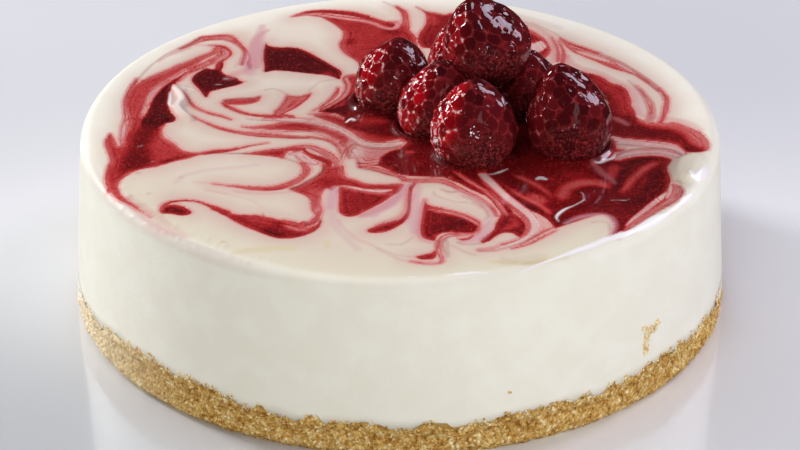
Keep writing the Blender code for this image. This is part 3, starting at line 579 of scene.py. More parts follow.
# %% The marbling, front
FRONT = [
    ("pool", 0.85, "-57 -46.4, -57 -44.6, -56.2 -43, -54.4 -42.1, -52.6 -42.6, -51.2 -43.7, -49.6 -46.4,"
     "-51.7 -47.8, -54.4 -46.9"),
    ("band", 0.75, "-57.1 -45.3 .4, -56.4 -42.6 .5, -54.6 -40.7 .5, -52 -40 .45, -49.6 -40.2 .45,"
     "-46.9 -41.6 .5, -43.8 -44.3 .9, -41.5 -46.3 1.3"),
    ("pool", 0.8, "-43.5 -43.4, -41.5 -45.6, -39.5 -46.9, -37 -47.4, -34 -47.6, -31 -48.7, -29 -49.6,"
     "-27 -50.6, -25 -51.6, -23 -53, -21.2 -53.4, -19.6 -52, -18.9 -50, -18.8 -52.5, -19.7 -54.6,"
     "-20.9 -56.3, -22.6 -57.7, -25 -58.8, -27 -59.1, -29 -58.8, -31.4 -57.4, -34 -55.4, -36.5 -53.4,"
     "-38.6 -51.3, -40.6 -49, -42.6 -46.6, -45 -44.6"),
    ("tint", 0.66, "-38 -48.8 .8, -34.5 -49.6 1, -31 -51.4 1.1, -29 -53.2 1.3"),
    ("tint", 0.93, "-34 -54 1, -30 -56.6 1.2, -26 -57.8 1"),
    ("tint", 0.35, "-29 -51 .5, -27 -52.6 .7, -24.6 -54.2 .8, -22.2 -54.6 .7, -20.5 -53 .6"),
    ("band", 0.72, "-28 -49.9 .3, -25.8 -51.2 .7, -23.8 -52.2 .9, -21.8 -52 1, -20.3 -50.4 1, -19.6 -48 .6,"
     "-19.1 -45.5 .35"),
    ("vein", ("dark", 0.7), "-22.5 -57 .25, -20.8 -56 .25, -20 -55 .25, -19.1 -52.5 .25, -18.8 -49 .2"),
    ("vein", ("rose", 0.45), "-56.8 -46.4 .4, -56 -50.7 .4, -53.9 -54.9 .4, -50.7 -58.1 .4"),
    ("vein", ("rose", 0.4), "-46.9 -34.7 .3, -41.6 -36.8 .3"),
    ("band", 0.82, "4 -30.6 .5, 3 -32.4 .6, 2.6 -34 .5, 2.4 -37 .45, 2.3 -40 .45, 2.2 -43 .45, 2 -46 .5,"
     "1.3 -48.5 .7, .2 -50.5 1, -1.8 -52.3 1.5, -3.8 -53.8 1.9, -5.4 -54.9 1.6, -6.6 -55.4 1.1"),
    ("tint", 0.64, "-7 -55 .8, -5 -56 .6, -2 -55 .4, 0 -53 .4"),
    ("vein", ("mauve", 0.85), "4.6 -33.5 .6, 4 -37 .8, 3.9 -41 .8, 4 -45 .9, 3.6 -49 1, 3.2 -53 1.1,"
     "3.3 -56.5 .7"),
    ("vein", ("rose", 0.4), "-14.8 -50 .45, -13.5 -53.5 .45, -11.5 -57.5 .45, -9.5 -60.3 .45, -6 -63 .45,"
     "-4.5 -65.2 .45, -2 -67.5 .45, 0 -69.5 .45, 3 -70.6 .4, 6.5 -71 .4"),
    ("vein", ("brown", 0.35), "-5 -64 .3, -2.5 -66 .3, .5 -67.7 .3, 3.5 -68.3 .3"),
    ("vein", ("brown", 0.5), "-3.3 -61.8 .2, -1 -62.2 .25, 0 -62.2 .3, 1 -61.3 .25, 2 -60 .2, 3 -58.3 .2"),
    ("band", 0.5, "1 -29.4 .8, 4 -29.8 1.1, 7 -29.6 1.1, 10 -30 1.1, 12 -31.4 .9, 14 -33.6 .8,"
     "16.3 -36.2 .7, 18.6 -38.6 .7, 20.8 -41.6 .6, 22.4 -45 .6, 23 -48 .5"),
    ("tint", 0.25, "12.6 -32.2 .5, 15 -35 .6, 18 -38.2 .6, 20.8 -41.8 .6, 22.3 -45.5 .6"),
    ("vein", ("mauve", 0.5), "14 -35.5 .8, 17 -38.4 .9, 19.8 -42 .9, 21.3 -46 .9, 21.8 -49 .8"),
    ("vein", ("brown", 0.8), "10 -34.5 .3, 12 -36 .45, 14 -35.6 .3"),
    ("vein", ("brown", 0.5), "8 -35.6 .3, 8.6 -37.6 .35, 11 -39.8 .3, 13.5 -41 .3, 16 -41.4 .3"),
    ("vein", ("brown", 0.75), "15 -38 .3, 17 -39.5 .3, 19 -41.5 .3, 20 -44 .3, 20.7 -46 .3, 21 -48.5 .3"),
    ("vein", ("rose", 0.6), "17.6 -41.5 .5, 19.4 -43.6 .5"),
    ("pool", 0.84, "6.1 -39.6, 6.4 -41.8, 8 -43.3, 10 -44, 12 -45, 14.5 -46.3, 17 -48.5, 19 -51, 18.9 -53,"
     "18.3 -55, 17.3 -56.2, 14.5 -56.2, 11.5 -56, 9.8 -56.5, 8.7 -58, 8.3 -60, 6.8 -59.7, 5.5 -58.7,"
     "4.9 -57, 4.8 -53, 5.1 -49, 5.4 -45, 5.8 -42"),
    ("tint", 0.66, "7 -43 .6, 10 -44.8 .5, 13.5 -46.3 .5, 16.5 -48.6 .5"),
    ("tint", 0.92, "8 -50 1.4, 11 -49.6 1.2, 13.5 -52 1.8, 9 -54 2.2, 7 -56.5 1.4"),
    ("band", 0.38, "6.8 -44.3 .3, 9 -45.4 .5, 11.5 -46.2 .6, 14 -47.4 .6, 16.3 -49.4 .6, 18 -51.3 .6,"
     "19.2 -52.9 .4"),
    ("vein", ("rose", 0.8), "5.7 -40 .3, 5 -44 .5, 4.6 -49 .6, 4.2 -53 .6, 4.2 -57 .6, 5.2 -59.8 .5,"
     "7.2 -61 .5"),
    ("band", 0.3, "19.2 -52.5 .3, 18.8 -54.8 .5, 17.4 -56.9 .6, 14 -57 .6, 11.5 -57.3 .7, 10 -58.6 .7,"
     "9.2 -60.4 .6, 9 -63 .6, 9.2 -66 .6, 9.8 -69 .5, 9 -70.8 .4, 6 -71 .35, 2.7 -70.2 .3"),
    ("vein", ("dark", 0.6), "13.5 -57.9 .25, 11.5 -58.4 .3, 10.4 -60 .3, 10 -62 .3, 10.3 -65 .25,"
     "11.2 -68 .2"),
    ("vein", ("brown", 0.6), "10.8 -60 .4, 11.2 -62 .4, 11 -64 .35, 11.4 -67 .3"),
    ("band", 0.75, "14 -59.2 .3, 14.8 -59.6 .5, 15.9 -59.2 .5, 17 -58.3 .35"),
    ("vein", ("mauve", 0.85), "20.8 -49.5 .8, 20.7 -52.5 1, 20.2 -55.5 1.1, 18.8 -58.4 1.2, 16.6 -60.6 .9,"
     "14 -60.8 .6"),
    ("pool", 0.8, "3.8 -67.8, 5.5 -66.8, 7.4 -65.8, 8.3 -64.3, 8.5 -66, 8.3 -68, 7.5 -69, 5.5 -69.3,"
     "4.2 -68.7"),
    ("vein", ("dark", 0.4), "8.4 -64 .25, 8.2 -61.8 .25, 8.5 -59.8 .25"),
    ("vein", ("brown", 0.75), "13.6 -61.2 .3, 15 -62 .3, 17 -62.2 .3, 19.4 -61.6 .3"),
    ("vein", ("brown", 0.5), "12 -62.5 .3, 13.5 -64 .3, 15.5 -66 .35, 17.5 -67.5 .3"),
    ("vein", ("brown", 0.6), "18 -65 .35, 21 -64.9 .4, 23.5 -64 .4, 26 -62.8 .4, 29.3 -60.6 .35,"
     "31.6 -57 .3"),
    ("vein", ("brown", 0.2), "24 -69.8 1.3, 29 -69 1.6, 33 -67.4 1.2"),
    ("vein", ("straw", 0.6), "-39 -66 .5, -36.3 -64.8 1, -30 -64 1.2, -25 -64 1"),
    ("vein", ("straw", 0.9), "-17.2 -61 .6, -17 -63.4 .7"),
    ("vein", ("brown", 0.9), "-32.8 -46.8 .2, -32.6 -47.8 .25"),
    ("vein", ("brown", 0.55), "-60.6 -36.8 .4, -60.3 -36.8 .4"),
    ("vein", ("brown", 0.5), "-41.8 -60.6 .35, -41 -60.6 .35"),
    ("vein", ("brown", 0.5), "-51.8 -66 .3, -51.5 -66 .3"),
]

# %% [markdown]
# ## The marbling, right
# On the right the strokes run out to the rim. A small number at the end of a band lets it taper out.

# %% The marbling, right
RIGHT = [
    ("pool", 0.88, "10.3 -21, 10.4 -24.5, 11 -27.5, 13.6 -30.2, 16.3 -33.6, 18.6 -35.9, 20.4 -37.6,"
     "21.8 -40, 23 -43.4, 24 -46.6, 23.4 -49.6, 22.6 -52, 22.2 -54.6, 20.8 -57.1, 19.4 -58.9, 18.9 -60.8,"
     "19.6 -61.4, 21.2 -60.1, 22.6 -58, 24.4 -56.4, 26.6 -56.6, 28.4 -59, 29.6 -55.8, 29.9 -51.4,"
     "28.6 -48.4, 27.2 -46, 29.4 -44.5, 33 -47, 35.4 -50.6, 36.6 -54, 38 -53.2, 41.5 -50.9, 45 -48.6,"
     "48 -47.2, 49.8 -48.6, 50.9 -53, 49.4 -58.6, 52 -56.5, 54.6 -52, 58 -47, 61.2 -43.4, 63.6 -40,"
     "64.6 -35, 65.3 -31.8, 65.7 -29.5, 65.5 -27, 65.3 -24, 66 -20.8, 66.7 -18.6, 64 -16.6, 58 -16.8,"
     "53 -18.6, 50 -14, 52 -6.6, 56 -7.4, 60 -8.1, 63.5 -8.9, 66.5 -9.9, 68.6 -11.3, 69.8 -13.3,"
     "70.4 -14.8, 73 -14.9, 75.9 -13.8, 76.6 -10, 75.6 -6, 74 -3, 71.5 -.4, 68.6 1.4, 66.5 .9, 65.4 1.4,"
     "62.5 1.6, 59.6 4, 59.5 6.5, 59.1 9, 58.6 11, 58.8 13, 58.7 15.5, 58.3 18, 57.8 20.5, 56.8 22.2,"
     "54.8 23.5, 53.5 25, 52.8 26.3, 51.5 28, 49.5 29.3, 47.5 30.5, 45.5 31.6, 42 33, 36 30, 30 20, 20 0,"
     "14 -12"),
    ("tint", 0.72, "47.5 28 1.6, 50.5 25.6 1.8, 53 22 2, 55.6 18.6 2, 56.6 14 2.2, 56.8 9 2.2, 57.4 5 1.8"),
    ("tint", 0.82, "48.5 22 1.4, 51 16 1.6, 53.4 10 1.6"),
    ("tint", 0.52, "58.4 3.5 1.2, 61 2.4 1.6, 64 1 2, 68 .2 2.4, 71.8 -2 2.6, 74.2 -6 2.8, 75 -11 2.6"),
    ("tint", 0.5, "62 3.2 1, 65.5 2.2 1.4, 69 2 1.7, 72.6 -.4 2, 75.6 -3.8 2.2, 77.2 -8 2.4, 77.4 -12 2.4,"
     "75.4 -15.5 1.4"),
    ("vein", ("rose", 0.5), "59.5 6.5 .5, 62.5 4.4 .8, 66 3.4 .9, 69.6 2.6 .9, 73 .2 .8, 75.6 -3.2 .4"),
    ("tint", 0.9, "54 -3 1.8, 58 -4 1.8, 62 -4.6 1.6, 66 -6.4 1"),
    ("tint", 0.68, "54 -6 .5, 58 -7 .6, 62 -7.8 .7, 66 -9 .8, 69 -10.6 .9, 71 -13 .8"),
    ("vein", ("rose", 0.9), "54 4.2 .5, 55.4 2.6 .8, 57 .6 .5"),
    ("band", 0.18, "53.2 -8.8 1.6, 57 -9.6 1.5, 61 -10.4 1.5, 65 -11.4 1.4, 68 -13 1.2, 69.6 -15 .9,"
     "69.4 -16.4 .7"),
    ("band", 0.62, "51.4 -12.8 .9, 53.4 -13.9 1, 55 -13.6 .5"),
    ("band", 0.2, "53.4 -17.4 .7, 55.4 -16 1.1, 58 -15 1.2, 61 -14.4 1.2, 64 -14.5 1.2, 66.6 -15.6 1.2,"
     "68.4 -17 .9"),
    ("vein", ("dark", 0.75), "52.5 -17.5 .35, 54 -15.8 .35, 56 -14.3 .35, 59 -13.1 .35, 62 -12.8 .35,"
     "65 -12.9 .35, 67 -13.6 .35, 68.5 -15 .35, 69.5 -16.3 .3"),
    ("vein", ("dark", 0.4), "53.6 -12.4 .25, 56 -11.8 .25"),
    ("tint", 0.52, "65 -18.7 .6, 62.5 -20.5 .9, 60.5 -22.5 1, 58.8 -25 1, 57.3 -27.5 1, 56 -30 1,"
     "54.8 -32.5 1, 53.8 -35 .8, 53.3 -37.5 .6"),
    ("tint", 0.97, "65.5 -17 .5, 62 -17.2 .8, 59.5 -18.4 1.1, 57.5 -20 1.2, 56 -22 1, 54.8 -24.5 .8,"
     "54 -27 .7, 53.3 -30 .7, 52.8 -33 .9, 52.3 -36 1"),
    ("tint", 0.7, "61 -27 .3, 59.5 -30 .5, 58.5 -33 .5, 57.4 -35.5 .3"),
    ("tint", 0.96, "63.6 -23 1.4, 62.8 -27 1.8, 61.8 -31 2, 60 -35 2.2, 57 -39.6 2, 54.4 -43 1.6"),
    ("tint", 0.62, "53.4 -20 1, 52.4 -23 1.2, 51.6 -26.6 1.2, 51.4 -30 1"),
    ("vein", ("rose", 0.75), "47.5 -21 .6, 48.5 -23.5 .9, 49.5 -26 .9, 51 -28.5 .8, 52 -31 .4"),
    ("tint", 0.8, "39 -25 2, 42.5 -26.6 2, 46.5 -26.4 2"),
    ("tint", 0.53, "38.8 -41 1.2, 39.2 -37 1.6, 40.2 -34 1.6, 42 -31.8 1.7, 44.6 -30.6 1.6, 47.4 -30.8 1.6,"
     "49.8 -32.4 1.5, 51.2 -35 1.2"),
    ("tint", 0.52, "41 -34.4 .7, 42.6 -32 .8, 45 -31 .7, 47.6 -31.4 .6"),
    ("tint", 0.93, "43 -36.4 .5, 44.2 -34.6 .5, 46.2 -33.8 .5, 48.6 -34.2 .6, 50 -36 .6"),
    ("tint", 0.97, "40.5 -46.4 1.2, 43 -43.4 1.5, 46 -42 1.8, 48.6 -43.4 1.4, 45.6 -45.4 1.2"),
    ("tint", 0.68, "38.8 -50.2 .6, 42.6 -48.2 .6, 46.4 -46.9 .6, 48.8 -46.4 .6"),
    ("tint", 0.96, "25 -28.4 1, 28 -30 1.6, 30 -33 1.8"),
    ("tint", 0.6, "30 -36 1, 33 -38.4 1.4, 35.2 -42 1.3"),
    ("tint", 0.5, "26 -25.8 .5, 29 -27.8 .6, 32 -30.8 .7, 34 -33.4 .6, 36 -36.8 .5, 36.6 -40 .4"),
    ("band", 0.46, "10.6 -21.2 .4, 12 -23.3 .5, 13.5 -25 .6, 15 -27.4 .6, 17 -30.4 .7, 19 -33 .7,"
     "21 -35.8 .7, 22.6 -38.5 .7, 23.8 -41.5 .7, 24.7 -44.5 .6, 25.4 -47 .4"),
    ("band", 0.22, "19.4 -26.6 .5, 21 -30 .7, 23 -34 .9, 24.6 -37.5 1.1, 26.4 -41 1.3, 28.4 -44.4 1.6,"
     "30.4 -47.6 1.9, 31.7 -50.8 2, 32.4 -54 1.7, 31.6 -57.6 1"),
    ("pool", 0.0, "27.6 -44.4, 29.4 -44.6, 31.6 -47, 33.2 -49.6, 34 -52.6, 33.4 -56, 32 -58.6, 30.8 -57,"
     "31 -53, 30.2 -49.4, 28.6 -46.6"),
    ("tint", 0.42, "22 -28 .35, 24.5 -32 .45, 27 -35 .5, 29.5 -38 .55, 32 -40.5 .6, 34 -43 .6, 35.5 -46 .6,"
     "36.2 -49 .5"),
    ("tint", 0.97, "21 -27 .4, 23 -30 .6, 25 -33.5 .8, 26.5 -36.8 .8, 28.6 -40 .9, 31 -43 .9, 33.2 -46 .8,"
     "34.6 -49.5 .6"),
    ("tint", 0.66, "24 -50 .8, 26.2 -49 .8, 27.4 -51.6 1, 25.4 -53.6 .9, 22.6 -55.8 .6"),
    ("pool", 0.0, "38.2 -53.6, 41 -51.6, 44 -49.8, 47.6 -48, 49.4 -49.4, 50.3 -53.4, 49 -58.6, 48 -62.4,"
     "42 -63, 37 -59"),
    ("band", 0.42, "66.2 -31.8 .5, 67 -33.8 1.2, 66.4 -37.2 1.4, 64.2 -40.8 1.2, 61.3 -44.4 1, 58.4 -48 .9,"
     "55.6 -51.6 .8, 53 -55.4 .6, 51 -58.4 .3"),
    ("vein", ("brown", 0.55), "67.8 -32.6 .3, 68.2 -35 .3, 67 -38.4 .3, 64.6 -41.8 .3, 61 -46 .3,"
     "57 -51 .3, 53.4 -56.4 .25"),
    ("band", 0.16, "64.6 -35.4 .4, 63 -38 .8, 60.8 -41.2 .9, 58.2 -45 .8, 55.6 -48.8 .6, 53.6 -52.4 .3"),
    ("vein", ("brown", 0.8), "66.2 -30.2 .4, 67.4 -30.4 .5, 68.2 -31.4 .4"),
]

# %% [markdown]
# ## The marbling, back right
# The berries hide a part of these strokes, and in the photograph the last few don't show at all.

# %% The marbling, back right
BACK_RIGHT = [
    ("pool", 0.7, "30 62, 31.5 59.5, 33 58, 34.5 56, 36 54, 37.3 52, 38.2 50, 38.9 47.5, 39.4 45, 39.5 43,"
     "39 41, 38 38.8, 37 36.5, 34 34, 28 36, 24 44, 24 56"),
    ("tint", 0.6, "33.4 57 .7, 34.8 54.6 .7, 36 52.4 .7, 37.4 49.6 .4"),
    ("tint", 0.85, "34 53 .5, 35 51 .6, 35.6 49.4 .4"),
    ("pool", 0.1, "34 47.3, 35.5 48, 37 49.2, 38.2 47, 38.3 45, 37.2 43.4, 35.8 42.2, 33.6 43"),
    ("tint", 0.68, "38.8 45.5 .35, 38.7 43 .7, 38.2 41 .9, 37.4 39 .7"),
    ("vein", ("rose", 0.6), "31 61.8 .7, 33.5 60.2 .8, 36 57.7 .8, 38 54.7 .9, 39.7 51 .9, 40.3 47 .9,"
     "40.3 43 .9, 39.9 39 .9, 39 35 .8"),
    ("vein", ("brown", 0.7), "35 60.5 .3, 37 58 .3, 39 56 .3, 40.5 54 .3, 41.8 52 .3, 42.6 50 .3"),
    ("band", 0.5, "40 51 .2, 40.8 47.5 .35, 41.3 44 .35, 41.3 40 .45, 41 36.6 .45"),
    ("band", 0.62, "41.5 49 .2, 42.3 46 .35, 42.7 43 .4, 42.7 40 .6, 42.2 36 .6"),
    ("band", 0.28, "42.4 49.2 .4, 44 46.3 .5, 46 44.3 .55, 49 42.3 .6, 52 40.2 .6, 55 37.3 .6,"
     "57.3 34.6 .7, 59 32 .7, 60.8 29.4 .6, 62.4 26.8 .6, 63.9 24.2 .6, 65.2 21.8 .6, 66.2 19.4 .5"),
    ("band", 0.7, "42.3 50.5 .3, 43.5 48.8 .5, 45.5 46.8 .5, 48 44.8 .6, 50 43.2 .5, 52 41.7 .3"),
    ("vein", ("dark", 0.65), "51 42.4 .3, 54 39.9 .3, 56 37.7 .3, 58 35.3 .3, 60 32.2 .3, 61.7 29.4 .3,"
     "63.4 26.5 .3, 65 23.8 .3, 66.3 21 .3"),
    ("band", 0.66, "43.3 46.8 .2, 44.5 44.5 .3, 46 42.2 .4, 48 40.2 .4, 50 38.4 .5, 52 36.6 .7, 54 35 1,"
     "55.6 33.4 1.1, 57 32 .8, 58.6 30.6 .4, 60 29.2 .25"),
    ("vein", ("dark", 0.6), "59 30.2 .3, 61 28 .3, 62.8 25.4 .3, 64.4 22.4 .3, 65.8 19 .3, 66.6 16.4 .3,"
     "66.9 14 .3"),
    ("band", 0.55, "66.4 21 .3, 67.2 18 .5, 67.8 15 .6, 67.6 12 .7, 67.2 9 .7, 66.6 6 .6, 66 3.5 .6,"
     "65.2 1.2 .6"),
    ("vein", ("mauve", 0.35), "59.5 24.5 1, 60.6 19 1.2, 61 14 1.3, 61 9 1.2, 60.8 5.4 .9"),
    ("vein", ("brown", 0.7), "58.5 25.5 .25, 59.8 22.5 .3, 61 19 .3, 61.8 16 .3, 62.2 13 .3, 62.5 10 .3,"
     "62.6 7 .3, 62.2 4.5 .3, 61.5 2 .3"),
    ("band", 0.3, "60.6 22 .25, 61.9 18 .45, 62.9 14.5 .5, 63.4 11 .5, 63.4 7.5 .55, 63 4 .55, 62 1.5 .5"),
    ("vein", ("brown", 0.75), "61.5 20.5 .3, 62.8 16.5 .3, 63.8 13 .3, 64.3 10 .3, 64.3 7 .3, 63.9 4 .3,"
     "63.1 1.5 .3"),
    ("vein", ("rose", 0.5), "47 32.6 .8, 50.6 30.4 .9, 53.6 27 .9, 56.4 23.8 .9, 58.9 20 .8, 59.8 15 .8,"
     "59.8 10 .8, 60.6 6 .8"),
    ("vein", ("rose", 0.6), "43 40 1, 44 36 1.2, 46 33.4 1"),
    ("vein", ("brown", 0.22), "30 65.6 1.6, 34 63.4 1.8, 38 60.4 1.8, 42 57.4 1.6"),
]
# Hidden behind the berries in the photograph: the same stroke of the stick goes on round the back.
BEHIND = [
    ("band", 0.7, "10 46 1.4, 12 52 2, 16 58 2.4, 22 61 2.4, 28 61 1.8, 33 57.5 .8"),
    ("band", 0.0, "12 44 .8, 15 50 1.4, 20 55 1.6, 26 55.6 1.4, 31 52 .8"),
    ("band", 0.3, "14 47 .4, 18 51.6 .6, 23 53 .6, 28 51 .5"),
]

# %% [markdown]
# ## The last strokes
# These lie over all the others: a thick drop of sauce beside the left berry, the dark pool under the
# heap, which is dark glaze painted darker still as shade between the berries, and fine stains. A gleam is
# a painted highlight: a small white spot where a drop or a wet ridge would mirror the light.

# %% The last strokes
THICK_DROP = ("-14.1 4, -12.7 10.4, -9.8 13.9, -6.3 11.8, -3.2 8.3, -0.5 4, -0.1 -0.8, -2.5 -4, -6.9 -4.6,"
              "-11.2 -2.2, -13.7 0.5")
LAST = [
    ("pool", 0.87, THICK_DROP),
    ("tint", 0.72, "-11.3 2.6 1, -8.1 1.2 1.6, -4.7 1.2 1.4, -2.2 -.1 .8"),
    # Dark glaze under the heap, painted darker still as shade between the berries
    ("pool", 0.97, "8 -8, 17 -18, 27 -19, 33 -13, 36 -3, 30 8, 16 20, 6 14, 4 2"),
    ("band", 0.6, "20.4 -30.8 .5, 24.5 -39 .6, 27.7 -44.6 .6, 30 -50.1 .6, 30.2 -55.1 .6, 27.7 -60 .5,"
     "23.9 -62.1 .4"),
    ("band", 0.12, "19.5 -25 1, 22.3 -30.8 1, 25 -36.8 1.1, 28.7 -43.1 1.1, 31.3 -48.3 1.2, 32.1 -53.1 1.1,"
     "30.6 -57.5 1, 27.2 -61.2 .9, 22.9 -64.1 .7, 18.7 -65 .5"),
    ("band", 0.3, "28.1 -62.1 .3, 31 -59 .4, 34 -55.6 .4, 36.4 -53.6 .3"),
    ("band", 0.34, "26.2 -64.1 .3, 30.5 -61.5 .35, 34.4 -57.5 .35, 36.8 -55.1 .3"),
    ("tint", 0.48, "72.4 -2.9 1.6, 74.5 -8.4 2.4, 75 -13.1 1.6"),
    ("vein", ("mauve", 0.8), "-36.6 58.1 .8, -37 51.9 1.4, -37.7 44.6 1.9, -38.5 37.3 2, -38.7 29 1.4"),
    ("vein", ("mauve", 0.9), "39.3 -51.3 .5, 41.8 -49.1 .6, 44.7 -47.7 .7, 47.6 -47.3 .7, 49.7 -48.3 .8,"
     "50.6 -51.3 .8, 50.2 -55.1 .7, 49.4 -58.8 .4"),
    ("vein", ("brown", 0.5), "45.5 -51.3 .3, 47.9 -50.9 .3, 49.3 -51.9 .3, 49.5 -55.1 .3"),
    ("vein", ("straw", 0.7), "21.4 -70.1 .6, 26 -70.8 .9, 30.6 -70.4 1, 35.3 -68.7 .7, 38.6 -67.7 .4"),
    ("vein", ("brown", 0.4), "23.7 -68.6 .3, 26 -69.8 .5, 28.3 -71 .6, 31.1 -70.6 .5, 33.7 -69.4 .3"),
    # Painted highlights along the front rim, where its wet edge would mirror the light
    ("vein", ("gleam", 0.95), "27.5 -74.1 .1, 31.3 -71.7 .2, 36 -68.7 .4, 40.8 -65.5 .6, 45.1 -62.4 .9,"
     "48.1 -59.7 1.1, 51.8 -57.5 1, 54.9 -55.2 .7, 58 -52.3 1, 61.2 -48.6 1.1, 63.8 -46 .4"),
    ("vein", ("gleam", 0.9), "1.7 -76.9 .1, 6.9 -76 .2, 12.7 -75.7 .3, 18.5 -74.9 .3, 21.6 -75.4 .1"),
    ("vein", ("gleam", 0.95), "74.9 -22.7 .5, 73.7 -26.2 1.1, 71.8 -28.6 .9, 70.6 -27.1 .5"),
    ("vein", ("gleam", 0.9), "70.7 -35.4 .3, 68.8 -38.2 .8, 67.5 -40.4 .5"),
    ("vein", ("rose", 0.42), "-65.4 -38.5 1, -62.4 -43.6 1.8, -59.5 -48.1 2.2, -56.3 -52.6 2.2,"
     "-53.3 -55.6 1.6, -50.3 -58 .8"),
    ("vein", ("gleam", 0.5), "-58.3 21 .3, -56.6 18 .7, -55.4 14 .9, -56.2 10.4 .7, -54.9 6.4 .6,"
     "-53 3.8 .3"),
    ("vein", ("mauve", 0.8), ".9 -33.4 .5, 0 -37.5 1, -1.8 -41.3 1.5, -4.2 -44.5 1.5, -6.8 -47.4 1.1,"
     "-9.5 -48.6 .5"),
    ("vein", ("mauve", 0.9), "-15.4 -33.4 .5, -16 -36.2 .9, -16.3 -39.4 .8, -16.7 -43.2 .4"),
    ("vein", ("mauve", 0.6), "4.4 -32.6 .5, 3.7 -37.5 .8, 3.3 -42.6 .9, 2.9 -47.6 .9, 2.1 -52.6 .6"),
    ("vein", ("rose", 0.45), "-21.4 -37.5 .6, -19.8 -41.3 1.2, -19.2 -45.7 1.3, -19.9 -49.5 1,"
     "-21.9 -51.6 .5"),
    ("vein", ("gleam", 0.8), "-13.5 1.5 .35, -12.4 2.6 .5, -11.3 1.5 .4"),
    ("vein", ("gleam", 0.7), "43.4 -35.5 .12, 44.1 -36.6 .2, 44.2 -38.6 .2, 44 -40 .25, 41.6 -42.6 .25,"
     "39.6 -44.2 .45, 38 -46.4 .55, 37.2 -48.5 .4, 37.6 -50.5 .2"),
    ("vein", ("gleam", 0.62), "33.2 -28.9 .5, 34.2 -28.3 .9, 35.4 -29 .6"),
    ("vein", ("gleam", 0.68), "20.5 -26.8 .1, 22.5 -26.4 .3, 24.4 -25.3 .5, 26.4 -23.6 .2"),
    ("vein", ("gleam", 0.7), "47.2 -20.1 .2, 49 -20.3 .4, 50.3 -19 .5, 52.2 -18 .5, 53 -16.5 .2"),
    ("vein", ("gleam", 0.5), "50.2 -40.2 .15, 52 -39.6 .3, 54 -39.9 .3, 55.2 -39.2 .1"),
    ("vein", ("gleam", 0.36), "21.5 -49 .2, 20.5 -51 .4, 19.5 -53 .2"),
    ("vein", ("gleam", 0.5), "-3.5 62.5 .3, -1.5 64 .3"),
    ("vein", ("gleam", 0.42), "-64.9 -11.6 .3, -63.8 -11.3 .4"),
    ("vein", ("gleam", 0.42), "-60.9 -19.8 .3, -60.1 -19.4 .3"),
    ("vein", ("gleam", 0.42), "-54.3 -19.9 .2, -53.7 -22 .3, -52.7 -24 .2"),
    ("vein", ("gleam", 0.5), "-45.4 26.6 .3, -44.4 26.6 .4"),
    ("vein", ("gleam", 0.5), "-47.2 23.2 .3, -45.9 23 .3"),
    ("vein", ("gleam", 0.7), "-58.7 18.8 .3, -58.5 15 .5, -58.4 12 .5, -57.4 9.6 .3, -55 9 .2"),
    ("vein", ("gleam", 0.6), "-57 20.5 .3, -54.6 20.9 .4, -52.8 19.6 .3"),
]
SWIRL = LEFT + BACK_LEFT + MIDDLE + FRONT + RIGHT + BACK_RIGHT + BEHIND + LAST
print(len(SWIRL), "strokes in all")

# %% [markdown]
# ## The cream's shape
# The filling is one body with a flat top, a rounded rim and a straight side. The marbling is stored on
# the points of its top, so the top is a fine grid, closer from left to right because the camera sees it
# so. What lies outside the circle is deleted: numpy selects those points in object mode, and the operator
# deletes them in edit mode.

# %% The cream's grid
CELL = (0.425, 0.67)                       # mm, size of a cell of the grid
INNER = TOP_RADIUS - RIM_ROUND
SHOULDER = HEIGHT - RIM_ROUND
start_alone()
cells = [round(2 * INNER / length) for length in CELL]
bpy.ops.mesh.primitive_grid_add(x_subdivisions=cells[0], y_subdivisions=cells[1], size=2 * INNER * MM,
                                location=(0, 0, HEIGHT * MM))
cream = bpy.context.object
cream.name = "cream_marbled"
bpy.ops.object.transform_apply(location=True)
place = points_of(cream) / MM
outside = np.hypot(place[:, 0], place[:, 1]) > INNER - 0.3
bpy.ops.object.mode_set(mode="EDIT")
bpy.ops.mesh.select_all(action="DESELECT")
bpy.ops.object.mode_set(mode="OBJECT")
for part in (cream.data.polygons, cream.data.edges):
    part.foreach_set("select", np.zeros(len(part), bool))
cream.data.vertices.foreach_set("select", outside)
bpy.ops.object.mode_set(mode="EDIT")
bpy.ops.mesh.delete(type="VERT")
bpy.ops.mesh.select_all(action="SELECT")
bpy.ops.mesh.delete_loose()
bpy.ops.mesh.select_all(action="DESELECT")
bpy.ops.mesh.select_non_manifold()
bpy.ops.object.mode_set(mode="OBJECT")
place = points_of(cream) / MM
edge = np.zeros(len(place), bool)
cream.data.vertices.foreach_get("select", edge)
place[edge, :2] *= (INNER / np.hypot(place[edge, 0], place[edge, 1]))[:, None]
move_points(cream, place * MM)
print("points round the rim:", edge.sum(), "of", len(place))

# %% [markdown]
# ## The rim and the side
# The rim and the side are extruded from the edge that is left, one ring after another. Then the rim is
# made a little uneven, as a hand leaves it, and the side's lower edge is laid along the top of the
# crumbs.

# %% The rim and the side
ROUNDING = [math.radians(turn) for turn in range(84, -1, -6)]      # a ring for each, over the rounded rim
SIDE_STEPS = 11                                                    # rings down the side
FOOT_OF_CREAM = CRUMB_HEIGHT + GAP
profile = [(INNER + RIM_ROUND * math.cos(turn), SHOULDER + RIM_ROUND * math.sin(turn)) for turn in ROUNDING]
for step in range(1, SIDE_STEPS + 1):
    height = SHOULDER + (FOOT_OF_CREAM - SHOULDER) * step / SIDE_STEPS
    profile.append((side_radius(height), height))
profile.append((side_radius(FOOT_OF_CREAM) * 0.93, FOOT_OF_CREAM - 0.01))
bpy.ops.object.mode_set(mode="EDIT")
radius, height = INNER, HEIGHT
for next_radius, next_height in profile:
    lift = (next_height - height) * MM
    bpy.ops.mesh.extrude_region_move(TRANSFORM_OT_translate={"value": (0, 0, lift)})
    share = next_radius / radius
    bpy.ops.transform.resize(value=(share, share, 1), center_override=(0, 0, next_height * MM))
    radius, height = next_radius, next_height
bpy.ops.mesh.edge_face_add()
bpy.ops.mesh.select_all(action="SELECT")
